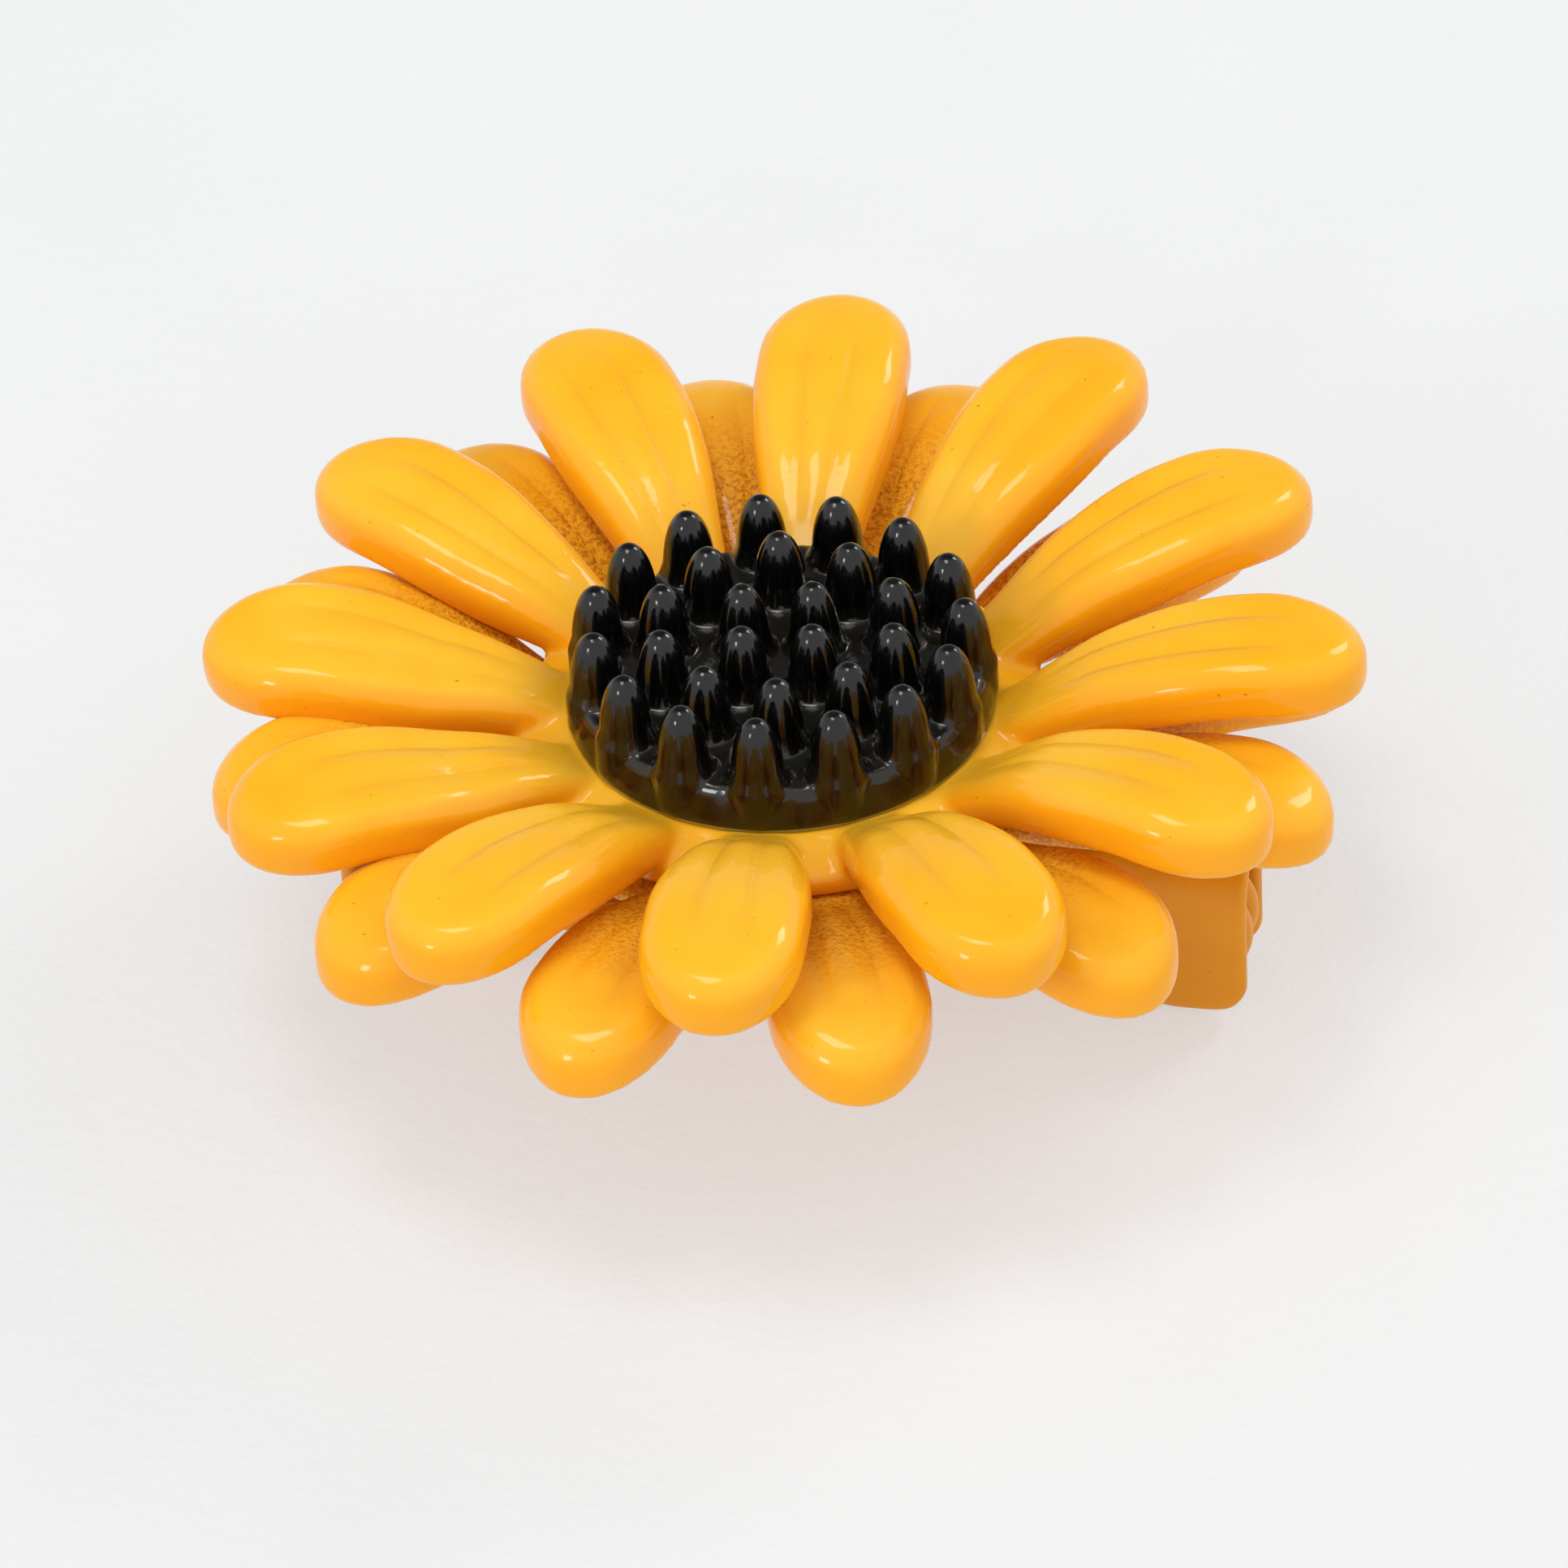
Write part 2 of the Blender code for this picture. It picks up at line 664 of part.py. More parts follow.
def arm_head(parent):
    """A flat cap folded over the wire's end, open towards the hinge."""
    inner = WIRE_RADIUS + GAP
    outer = inner + HEAD_WALL
    bm = block((HEAD_FROM, -HEAD_HALF, ARM_Z - outer), (HEAD_TO, HEAD_HALF, ARM_Z + outer))
    bmesh.ops.bevel(bm, geom=bm.edges[:], offset=0.3 * MM, segments=2, profile=0.5, affect="EDGES")
    head = add_object("arm_head", bm, bpy.data.materials["yellow_enamel"], parent, (PIN_X, 0, PIN_Z))
    side = WIRE_Y + inner
    pocket = block((ARM_END - side, -side, ARM_Z - inner), (HEAD_TO + 1, side, ARM_Z + inner))
    cutter("head_pocket_guide", pocket, [head])
    return head


def main():
    clear_scene()
    material("guide", (0.5, 0.5, 0.5), 0.5, 0.0)
    yellow = material("yellow_enamel", YELLOW, 0.22, 0.0)
    material("black_enamel", BLACK, 0.12, 0.0)
    material("rivet_metal", (0.62, 0.6, 0.55), 0.35, 1.0)
    flower_centre()
    upper = petal_casting(UPPER_TURN, UPPER_BOTTOM, UPPER_HUB, UPPER_REACH, UPPER_RISE, UPPER_DROOP)
    add_object("upper_petals", upper, yellow)
    lower = petal_casting(LOWER_TURN, LOWER_BOTTOM, LOWER_HUB, LOWER_REACH, LOWER_RISE, LOWER_DROOP)
    add_object("lower_petals", lower, yellow)
    back_disc()
    flower_rivet()
    clip_rivet("clip_rivet_hinge_side", RIVET_X)
    clip_rivet("clip_rivet_catch_side", -RIVET_X)
    clip_body()
    hinge_pin()
    arm = bpy.data.objects.new("arm_pivot", None)
    arm.location = Vector((PIN_X, 0, PIN_Z)) * MM
    bpy.context.scene.collection.objects.link(arm)
    arm_wire(arm)
    arm_head(arm)


main()
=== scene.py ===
"""Finished look of the flower hair clip: cast enamel petals, a nubbed black centre, a painted clip.

Shape functions work in millimetres, in the frame of the CAD model; meshes are made in metres.
+Z is the way the flower faces, and the clip runs along X with its hinge at +X.
"""
import random
from math import acos, atan2, cos, exp, hypot, pi, radians, sin, sqrt

import bmesh
import bpy
from mathutils import Matrix, Quaternion, Vector


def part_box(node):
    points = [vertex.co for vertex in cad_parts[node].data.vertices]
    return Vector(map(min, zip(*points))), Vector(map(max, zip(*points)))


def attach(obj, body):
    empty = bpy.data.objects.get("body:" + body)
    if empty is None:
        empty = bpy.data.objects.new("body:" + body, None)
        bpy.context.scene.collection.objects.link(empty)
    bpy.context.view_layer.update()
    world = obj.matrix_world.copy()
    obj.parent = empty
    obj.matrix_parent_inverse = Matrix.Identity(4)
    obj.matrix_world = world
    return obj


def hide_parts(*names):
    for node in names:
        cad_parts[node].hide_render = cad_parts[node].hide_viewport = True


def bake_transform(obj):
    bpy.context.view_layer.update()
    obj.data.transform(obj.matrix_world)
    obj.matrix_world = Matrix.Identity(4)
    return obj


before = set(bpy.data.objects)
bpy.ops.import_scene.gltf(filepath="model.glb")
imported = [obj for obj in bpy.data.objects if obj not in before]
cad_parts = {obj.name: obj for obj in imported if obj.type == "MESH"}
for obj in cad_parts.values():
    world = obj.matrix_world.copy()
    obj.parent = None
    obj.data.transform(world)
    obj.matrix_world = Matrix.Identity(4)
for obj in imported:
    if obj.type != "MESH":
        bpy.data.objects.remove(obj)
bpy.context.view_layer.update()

MM = 0.001
WELD = 2e-7                  # metres
SEED = 7


# ---- Places read from the frame -----------------------------------------------------------------

def box_mm(node):
    low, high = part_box(node)
    return Vector(low) / MM, Vector(high) / MM


def reach_mm(node):
    """Largest distance of a node's points from the flower's axis."""
    return max(hypot(v.co.x, v.co.y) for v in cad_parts[node].data.vertices) / MM


UPPER_LOW = box_mm("upper_petals")[0]
LOWER_LOW = box_mm("lower_petals")[0]
CENTRE_LOW, CENTRE_HIGH = box_mm("flower_centre")
DISC_LOW, DISC_HIGH = box_mm("back_disc")
CLIP_LOW, CLIP_HIGH = box_mm("clip_body")
WIRE_LOW, WIRE_HIGH = box_mm("arm_wire")
HEAD_LOW, HEAD_HIGH = box_mm("arm_head")
PIN_LOW, PIN_HIGH = box_mm("hinge_pin")
PIN_X = (PIN_LOW.x + PIN_HIGH.x) / 2
PIN_Z = (PIN_LOW.z + PIN_HIGH.z) / 2
FLOOR_Z = CLIP_LOW.z

# Petals
PETALS = 12
PETAL_ROOT = 7.0             # radius where a petal starts, under the edge of the black disc
PETAL_WIDEST = 15.0
PETAL_TIP = 3.5              # length of the elliptical tip
PETAL_HALF = 2.7
PETAL_ROOT_HALF = 1.25
PETAL_DEPTH = 2.0
BOTTOM_ROUND = 0.5           # edge radii of a petal's section
TOP_ROUND = 0.8
ROOT_ROUND = 0.55
CROWN = 0.22                 # swell along the middle of a petal's top
GROOVE_DEPTH = 0.13
GROOVE_PLACE = 0.32          # share of the half width
GROOVE_WIDTH = 0.13
HATCH_PITCH = 0.55           # transverse rows under the petals
HUB_REACH = 9.2              # the ledge between the roots
HUB_DROP = 0.55              # how far the ledge falls from the disc to its edge
HUB_BORE = 1.3
CASTING_VOXEL = 0.19         # millimetres
# Each layer: direction of its first petal, hub thickness, radius where the petals start to rise,
# height gained along a petal and lost at its tip, and nudges for petals that sit off their places:
# (turn in degrees, height, roll in degrees).
UPPER_LAYER = {"turn": 94.0, "hub": 1.45, "rise_from": 7.3, "rise": 3.1, "droop": 0.35,
               "nudges": {1: (0.0, -0.15, 0.0), 2: (0.0, -0.65, -2.0), 3: (0.0, -0.95, -7.0),
                          4: (0.0, -0.95, -8.0), 5: (0.0, -0.35, -2.0), 7: (0.8, 0.2, 0.0),
                          8: (0.0, 0.3, 0.0), 11: (0.0, 0.35, 0.0)}}
LOWER_LAYER = {"turn": 109.0, "hub": 1.3, "rise_from": 9.3, "rise": 1.55, "droop": 0.7,
               "nudges": {3: (0.0, -0.3, -4.0), 4: (1.0, -0.4, -3.0), 5: (1.0, -0.3, 0.0),
                          7: (-0.5, 0.15, 0.0), 9: (-2.0, -0.1, 0.0), 10: (-3.5, -0.4, 0.0)}}

# Clip
SHEET = 0.55
PLATE_HALF = CLIP_HIGH.y - SHEET / 2
HINGE_END = CLIP_HIGH.x
LEG_X = CLIP_LOW.x + SHEET / 2


# ---- Mesh helpers -------------------------------------------------------------------------------

def ease(t):
    t = min(max(t, 0.0), 1.0)
    return t * t * (3 - 2 * t)


def make_piece(name, points, faces, material, smooth_angle=None):
    """A welded, outward-facing mesh object from millimetre points."""
    bm = bmesh.new()
    verts = [bm.verts.new(Vector(point) * MM) for point in points]
    for face in faces:
        bm.faces.new([verts[i] for i in face])
    bmesh.ops.remove_doubles(bm, verts=bm.verts, dist=WELD)
    bmesh.ops.dissolve_degenerate(bm, edges=bm.edges, dist=WELD)
    bmesh.ops.recalc_face_normals(bm, faces=bm.faces)
    return piece_from_bm(name, bm, material, smooth_angle)


def piece_from_bm(name, bm, material, smooth_angle=None):
    mesh = bpy.data.meshes.new(name)
    bm.to_mesh(mesh)
    bm.free()
    mesh.shade_smooth()
    if smooth_angle:
        mesh.set_sharp_from_angle(angle=radians(smooth_angle))
    obj = bpy.data.objects.new(name, mesh)
    bpy.context.scene.collection.objects.link(obj)
    mesh.materials.append(material)
    return obj


def settle(obj):
    """Replace an object's mesh with its evaluated mesh, and drop its modifiers."""
    graph = bpy.context.evaluated_depsgraph_get()
    mesh = bpy.data.meshes.new_from_object(obj.evaluated_get(graph))
    obj.modifiers.clear()
    obj.data = mesh
    mesh.shade_smooth()
    return obj


def grid_faces(columns, closed=False):
    faces = []
    pairs = list(zip(columns, columns[1:]))
    if closed:
        pairs.append((columns[-1], columns[0]))
    for first, second in pairs:
        for i in range(len(first) - 1):
            faces.append((first[i], first[i + 1], second[i + 1], second[i]))
    return faces


def turned(profile, sides, centre=(0, 0), closed=False):
    """Points and faces of a solid of revolution about Z, from a (radius, height) profile.

    A closed profile ends where it starts, and makes a ring.
    """
    points = []
    rings = []
    for radius, height in profile:
        ring = []
        for k in range(sides):
            a = 2 * pi * k / sides
            ring.append(len(points))
            points.append((centre[0] + radius * cos(a), centre[1] + radius * sin(a), height))
        ring.append(ring[0])
        rings.append(ring)
    faces = grid_faces(rings)
    if closed:
        return points, faces
    if profile[0][0] > 0.02:
        faces.append(tuple(rings[0][:-1]))
    if profile[-1][0] > 0.02:
        faces.append(tuple(rings[-1][:-1]))
    return points, faces


def arc(centre, radius, start, end, steps):
    """Points on an arc, with angles in degrees."""
    out = []
    for k in range(steps + 1):
        a = radians(start + (end - start) * k / steps)
        out.append((centre[0] + radius * cos(a), centre[1] + radius * sin(a)))
    return out


# ---- Materials ----------------------------------------------------------------------------------

def new_material(name):
    mat = bpy.data.materials.new(name)
    mat.use_nodes = True
    return mat, mat.node_tree.nodes, mat.node_tree.links, mat.node_tree.nodes["Principled BSDF"]


def add_node(nodes, kind, **settings):
    node = nodes.new(kind)
    for key, value in settings.items():
        setattr(node, key, value)
    return node


def place_parts(nodes, links, kind="Object"):
    """The X, Y and Z sockets of a texture coordinate."""
    coords = add_node(nodes, "ShaderNodeTexCoord")
    split = add_node(nodes, "ShaderNodeSeparateXYZ")
    links.new(coords.outputs[kind], split.inputs[0])
    return split.outputs


def noise(nodes, links, scale, detail=3.0, roughness=0.5):
    """Noise in object space; scale is cycles per millimetre."""
    coords = add_node(nodes, "ShaderNodeTexCoord")
    tex = add_node(nodes, "ShaderNodeTexNoise")
    tex.inputs["Scale"].default_value = scale / MM
    tex.inputs["Detail"].default_value = detail
    tex.inputs["Roughness"].default_value = roughness
    links.new(coords.outputs["Object"], tex.inputs["Vector"])
    return tex.outputs["Fac"]


def ramp(nodes, links, source, stops):
    """A colour ramp from (position, colour) stops."""
    node = add_node(nodes, "ShaderNodeValToRGB")
    elements = node.color_ramp.elements
    while len(elements) < len(stops):
        elements.new(0.5)
    for element, (place, colour) in zip(elements, stops):
        element.position = place
        element.color = (*colour, 1.0)
    links.new(source, node.inputs["Fac"])
    return node.outputs["Color"]


def mix(nodes, links, factor, first, second, blend="MIX"):
    node = add_node(nodes, "ShaderNodeMix", data_type="RGBA", blend_type=blend)
    for socket, value in ((node.inputs[0], factor), (node.inputs[6], first), (node.inputs[7], second)):
        if isinstance(value, bpy.types.NodeSocket):
            links.new(value, socket)
        elif isinstance(value, (int, float)):
            socket.default_value = value
        else:
            socket.default_value = (*value, 1.0)
    return node.outputs[2]


def calc(nodes, links, operation, first, second=0.0, clamp=False):
    node = add_node(nodes, "ShaderNodeMath", operation=operation, use_clamp=clamp)
    for socket, value in zip(node.inputs, (first, second)):
        if isinstance(value, bpy.types.NodeSocket):
            links.new(value, socket)
        else:
            socket.default_value = value
    return node.outputs[0]


def span(nodes, links, source, low, high, out_low=0.0, out_high=1.0):
    node = add_node(nodes, "ShaderNodeMapRange")
    for key, value in (("From Min", low), ("From Max", high), ("To Min", out_low), ("To Max", out_high)):
        node.inputs[key].default_value = value
    links.new(source, node.inputs["Value"])
    return node.outputs["Result"]


def speckled(nodes, links, colour, grain, low, high, tint):
    """Small spots of another colour, where a fine noise peaks."""
    spots = ramp(nodes, links, grain, ((low, (0.0, 0.0, 0.0)), (high, (1.0, 1.0, 1.0))))
    return mix(nodes, links, calc(nodes, links, "MULTIPLY", spots, 0.5), colour, tint)


def axis_distance(nodes, links):
    """Distance from the flower's axis, in metres."""
    coords = add_node(nodes, "ShaderNodeTexCoord")
    flat = add_node(nodes, "ShaderNodeVectorMath", operation="MULTIPLY")
    flat.inputs[1].default_value = (1.0, 1.0, 0.0)
    links.new(coords.outputs["Object"], flat.inputs[0])
    length = add_node(nodes, "ShaderNodeVectorMath", operation="LENGTH")
    links.new(flat.outputs["Vector"], length.inputs[0])
    return length.outputs["Value"]


def bump(nodes, links, shader, layers):
    """Stacked bump layers: (height socket, depth in millimetres, strength)."""
    below = None
    for height, depth, strength in layers:
        node = add_node(nodes, "ShaderNodeBump")
        node.inputs["Distance"].default_value = depth * MM
        if isinstance(strength, bpy.types.NodeSocket):
            links.new(strength, node.inputs["Strength"])
        else:
            node.inputs["Strength"].default_value = strength
        links.new(height, node.inputs["Height"])
        if below:
            links.new(below, node.inputs["Normal"])
        below = node.outputs["Normal"]
    links.new(below, shader.inputs["Normal"])


YELLOW = (0.93, 0.435, 0.012)
YELLOW_LIGHT = (0.95, 0.505, 0.029)
# The next colour is painted shade for the petals' downward faces.
UNDERSIDE_SHADE_YELLOW = (0.86, 0.30, 0.002)
# The next colour is painted shade on the petals' side walls; it also gives the deeper colour of the enamel in
# the grooves.
ORANGE = (0.93, 0.365, 0.003)
OLIVE = (0.36, 0.30, 0.02)
GRAIN = (0.55, 0.17, 0.002)
SPECK = (0.18, 0.07, 0.004)
# The clip's two colours are darkened as painted shade: its real paint is the same yellow as the petals, and
# the darker tone stands for the shade under the flower.
SHADED_CLIP_YELLOW = (0.67, 0.24, 0.001)
SHADED_CLIP_YELLOW_LIGHT = (0.76, 0.30, 0.003)
CHIP = (0.30, 0.13, 0.01)
BLACK = (0.002, 0.002, 0.002)
THIN_BLACK = (0.030, 0.021, 0.002)
BLACK_EDGE = (0.34, 0.30, 0.06)


def petal_lines(nodes, links, radius, turn):
    """1 along the middles of the two lengthwise grooves of every petal, and 0 away from them."""
    at = place_parts(nodes, links)
    angle = calc(nodes, links, "ARCTAN2", at["Y"], at["X"])
    step = 2 * pi / PETALS
    turned_back = calc(nodes, links, "ADD", angle, 2 * pi + step / 2 - radians(turn))
    offset = calc(nodes, links, "SUBTRACT", calc(nodes, links, "FLOORED_MODULO", turned_back, step), step / 2)
    across = calc(nodes, links, "ABSOLUTE", calc(nodes, links, "MULTIPLY", radius, offset))
    place = span(nodes, links, radius, 8.5 * MM, 15.0 * MM, 0.42 * MM, 0.86 * MM)
    away = calc(nodes, links, "DIVIDE", calc(nodes, links, "SUBTRACT", across, place), 0.17 * MM)
    line = calc(nodes, links, "DIVIDE", 1.0, calc(nodes, links, "ADD", 1.0, calc(
        nodes, links, "MULTIPLY", away, away)))
    start = span(nodes, links, radius, 8.6 * MM, 10.5 * MM)
    end = span(nodes, links, radius, 15.5 * MM, 17.8 * MM, 1.0, 0.0)
    return calc(nodes, links, "MULTIPLY", line, calc(nodes, links, "MULTIPLY", start, end))


def petal_enamel(name, turn, grit):
    """Glossy golden enamel with painted shade: deeper orange where it faces sideways and deeper yellow where
    it faces down. It is also rougher below.

    turn is the direction of the first petal, or None; grit is the sandy relief near the roots.
    """
    mat, nodes, links, shader = new_material(name)
    cloud = noise(nodes, links, 0.16, 2.0)
    colour = ramp(nodes, links, cloud, ((0.35, YELLOW), (0.65, YELLOW_LIGHT)))
    radius = axis_distance(nodes, links)
    upward = place_parts(nodes, links, "Normal")["Z"]
    # Painted shade: the side walls are mixed towards orange, the more so the more they face sideways.
    side = span(nodes, links, upward, 0.35, 0.9, 0.8, 0.0)
    colour = mix(nodes, links, side, colour, ORANGE)
    # Painted shade: faces that point down are mixed towards a deeper yellow.
    under = span(nodes, links, upward, -0.5, -0.9)
    colour = mix(nodes, links, calc(nodes, links, "MULTIPLY", under, 0.5), colour, UNDERSIDE_SHADE_YELLOW)
    if turn is not None:
        halo = span(nodes, links, radius, 7.25 * MM, 7.75 * MM, 1.0, 0.0)
        patchy = span(nodes, links, noise(nodes, links, 0.45, 3.0), 0.46, 0.7, 0.0, 0.45)
        colour = mix(nodes, links, calc(nodes, links, "MULTIPLY", halo, patchy, True), colour, OLIVE)
    colour = speckled(nodes, links, colour, noise(nodes, links, 3.3, 2.0, 0.4), 0.775, 0.79, SPECK)
    if turn is not None:
        up = span(nodes, links, upward, 0.5, 0.85)
        lines = calc(nodes, links, "MULTIPLY", petal_lines(nodes, links, radius, turn), up)
        colour = mix(nodes, links, calc(nodes, links, "MULTIPLY", lines, 0.12), colour, ORANGE)
    if grit:
        sand = noise(nodes, links, 5.5, 2.0, 0.6)
        rooted = span(nodes, links, radius, 12.5 * MM, 16.5 * MM, grit, 0.0)
        grains = calc(nodes, links, "MULTIPLY", span(nodes, links, sand, 0.46, 0.6), rooted)
        colour = mix(nodes, links, calc(nodes, links, "MULTIPLY", grains, 0.75), colour, GRAIN)
    links.new(colour, shader.inputs["Base Color"])
    rough = span(nodes, links, noise(nodes, links, 0.6, 3.0), 0.3, 0.7, 0.2, 0.32)
    rough = calc(nodes, links, "ADD", rough, calc(nodes, links, "MULTIPLY", under, 0.18))
    links.new(rough, shader.inputs["Roughness"])
    shader.inputs["Coat Weight"].default_value = 0.42
    shader.inputs["Coat Roughness"].default_value = 0.07
    shader.inputs["Specular IOR Level"].default_value = 0.06
    shader.inputs["Subsurface Weight"].default_value = 0.1
    shader.inputs["Subsurface Radius"].default_value = (1.0, 0.45, 0.05)
    shader.inputs["Subsurface Scale"].default_value = 0.5 * MM
    peel = noise(nodes, links, 0.9, 2.0, 0.4)
    rows = calc(nodes, links, "SINE", calc(nodes, links, "MULTIPLY", radius, 2 * pi / (HATCH_PITCH * MM)))
    layers = [(peel, 0.08, 0.4)]
    if turn is not None:
        layers.append((rows, 0.04, calc(nodes, links, "MULTIPLY", under, 0.5)))
        layers.append((calc(nodes, links, "MULTIPLY", lines, -1.0), 0.11, 0.75))
    if grit:
        layers.append((sand, 0.2, rooted))
    bump(nodes, links, shader, layers)
    return mat


def black_enamel():
    """Glossy black enamel, thin and olive where it meets the yellow."""
    mat, nodes, links, shader = new_material("black_enamel")
    height = place_parts(nodes, links)["Z"]
    base = CENTRE_LOW.z * MM
    foot = span(nodes, links, height, base, base + 2.2 * MM, 1.0, 0.0)
    foot = calc(nodes, links, "POWER", foot, 1.3, True)
    patchy = span(nodes, links, noise(nodes, links, 0.7, 3.0), 0.3, 0.7, 0.4, 1.0)
    foot = calc(nodes, links, "MULTIPLY", foot, patchy, True)
    colour = mix(nodes, links, foot, BLACK, THIN_BLACK)
    line = span(nodes, links, height, base + 0.03 * MM, base + 0.1 * MM, 1.0, 0.0)
    colour = mix(nodes, links, calc(nodes, links, "MULTIPLY", line, 0.8, True), colour, BLACK_EDGE)
    links.new(colour, shader.inputs["Base Color"])
    rough = span(nodes, links, noise(nodes, links, 0.8, 3.0), 0.3, 0.7, 0.12, 0.24)
    links.new(rough, shader.inputs["Roughness"])
    shader.inputs["Specular IOR Level"].default_value = 0.2
    shader.inputs["Coat Weight"].default_value = 0.6
    shader.inputs["Coat Roughness"].default_value = 0.05
    bump(nodes, links, shader, ((noise(nodes, links, 1.1, 2.0), 0.09, 0.5),))
    return mat


def clip_enamel():
    """Satin golden paint on sheet and wire, darkened as painted shade, with a fine orange peel and small
    chips of wear.
    """
    mat, nodes, links, shader = new_material("clip_enamel")
    cloud = noise(nodes, links, 0.2, 3.0)
    # Painted shade: both ends of this ramp are darker than the paint's own yellow.
    colour = ramp(nodes, links, cloud, ((0.3, SHADED_CLIP_YELLOW), (0.7, SHADED_CLIP_YELLOW_LIGHT)))
    colour = speckled(nodes, links, colour, noise(nodes, links, 2.6, 3.0, 0.5), 0.74, 0.77, CHIP)
    links.new(colour, shader.inputs["Base Color"])
    rough = span(nodes, links, noise(nodes, links, 0.5, 4.0), 0.3, 0.7, 0.28, 0.42)
    links.new(rough, shader.inputs["Roughness"])
    shader.inputs["Specular IOR Level"].default_value = 0.25
    shader.inputs["Coat Weight"].default_value = 0.10
    shader.inputs["Coat Roughness"].default_value = 0.16
    bump(nodes, links, shader, ((noise(nodes, links, 0.9, 2.0), 0.05, 0.3),
                                (noise(nodes, links, 5.0, 2.0), 0.012, 0.35)))
    return mat


def rivet_metal():
    mat, nodes, links, shader = new_material("rivet_metal")
    tone = noise(nodes, links, 1.2, 3.0)
    links.new(ramp(nodes, links, tone, ((0.3, (0.5, 0.48, 0.43)), (0.7, (0.7, 0.68, 0.62)))),
              shader.inputs["Base Color"])
    links.new(span(nodes, links, tone, 0.3, 0.7, 0.25, 0.45), shader.inputs["Roughness"])
    shader.inputs["Metallic"].default_value = 1.0
    return mat


def floor_material():
    mat, nodes, links, shader = new_material("pale_floor")
    tone = noise(nodes, links, 0.05, 4.0)
    links.new(ramp(nodes, links, tone, ((0.3, (0.325, 0.335, 0.34)), (0.7, (0.345, 0.355, 0.36)))),
              shader.inputs["Base Color"])
    shader.inputs["Emission Color"].default_value = (1.0, 1.0, 1.0, 1.0)
    shader.inputs["Emission Strength"].default_value = 0.5
    shader.inputs["Roughness"].default_value = 0.9
    shader.inputs["Specular IOR Level"].default_value = 0.2
    bump(nodes, links, shader, ((noise(nodes, links, 1.2, 4.0, 0.7), 0.25, 0.35),))
    return mat


# ---- Petal castings -----------------------------------------------------------------------------

def petal_outline(reach):
    """Half of the outline of a petal: (radius, half width, radius of its point on the spine)."""
    cap = reach - PETAL_TIP
    rows = []
    body = 22
    for step in range(body):
        t = step / body
        r = PETAL_ROOT + t * (PETAL_WIDEST - PETAL_ROOT)
        half = PETAL_ROOT_HALF + (PETAL_HALF - PETAL_ROOT_HALF) * sin(pi / 2 * t ** 1.25)
        rows.append((r, half, r))
    for step in range(4):
        r = PETAL_WIDEST + (cap - PETAL_WIDEST) * step / 4
        rows.append((r, PETAL_HALF, r))
    turns = 18
    for step in range(turns + 1):
        a = pi / 2 * step / turns
        rows.append((cap + PETAL_TIP * sin(a), PETAL_HALF * cos(a), cap))
    return rows


def petal_section(half, depth, top_round):
    """Half of a petal's section, from the middle of its underside to the middle of its top.

    Each point is (share of the half width, height); the edges are rounded.
    """
    low = [(share * (half - BOTTOM_ROUND), 0.0) for share in (0.0, 0.35, 0.7)]
    low += arc((half - BOTTOM_ROUND, BOTTOM_ROUND), BOTTOM_ROUND, -90, 0, 3)
    side = (depth - top_round + BOTTOM_ROUND) / 2
    high = arc((half - top_round, depth - top_round), top_round, 0, 90, 6)
    flat = [(share * (half - top_round), depth) for share in
            (0.93, 0.86, 0.78, 0.7, 0.62, 0.54, 0.46, 0.38, 0.3, 0.2, 0.1, 0.0)]
    return [(y / half, z) for y, z in low + [(half, side)] + high + flat]


SECTION_TOP_EDGE = 13        # last point of the upper rounded edge in a section


def petal_rise(r, layer):
    t = max((r - layer["rise_from"]) / (layer["reach"] - layer["rise_from"]), 0.0)
    return layer["rise"] * sin(min(t * 1.25, 1.0) * pi / 2) - layer["droop"] * max(t - 0.6, 0) ** 2 / 0.16


def top_relief(r, y, half):
    """Height added to a petal's top: it swells along its middle, less two lengthwise grooves."""
    across = min(abs(y) / half, 1.0)
    swell = CROWN * (1 - across ** 2) * ease((r - PETAL_ROOT) / 4)
    groove = exp(-((across - GROOVE_PLACE) / GROOVE_WIDTH) ** 2)
    return swell - GROOVE_DEPTH * groove * ease((r - 8.6) / 2) * (1 - ease((r - 15.8) / 2.6))


def petal_shell(layer, outline, angle, yaw, roll, lift):
    """Points and faces of one closed petal."""
    points = []
    columns = []
    for r, edge, spine in outline:
        column = []
        grown = ease((r - layer["rise_from"]) / 4)
        depth = layer["hub"] + (PETAL_DEPTH - layer["hub"]) * grown
        round_now = ROOT_ROUND + (TOP_ROUND - ROOT_ROUND) * grown
        half = max(hypot(r - spine, edge), 1e-6)
        for q, (share, height) in enumerate(petal_section(half, depth, round_now)):
            along = spine + share * (r - spine)
            across = share * edge
            loose = ease((along - layer["rise_from"]) / 5)
            z = height
            if q >= SECTION_TOP_EDGE:
                z += top_relief(along, hypot(along - spine, across), half)
            middle = depth / 2
            turned_y = across * cos(roll * loose) - (z - middle) * sin(roll * loose)
            turned_z = across * sin(roll * loose) + (z - middle) * cos(roll * loose) + middle
            z = layer["low"] + petal_rise(along, layer) + turned_z + lift * loose
            a = angle + yaw * loose
            column.append(len(points))
            x = along * cos(a) - turned_y * sin(a)
            y = along * sin(a) + turned_y * cos(a)
            points.append((x, y, z))
        columns.append(column)
    faces = grid_faces(columns)
    faces.append(tuple(columns[0] + columns[-1][-2:0:-1]))
    return points, faces


def hub_shell(layer):
    """The ring that joins the roots: its top falls outward into the ledges between them."""
    low = layer["low"]
    top = low + layer["hub"]
    edge = 0.35
    outer = arc((HUB_REACH - edge, low + edge), edge, -90, 0, 3)
    outer += arc((HUB_REACH - edge, top - HUB_DROP - edge), edge, 0, 80, 3)
    profile = [(HUB_BORE, low)] + outer + [(CENTRE_HIGH.x, top), (HUB_BORE, top), (HUB_BORE, low)]
    return turned(profile, 96, closed=True)


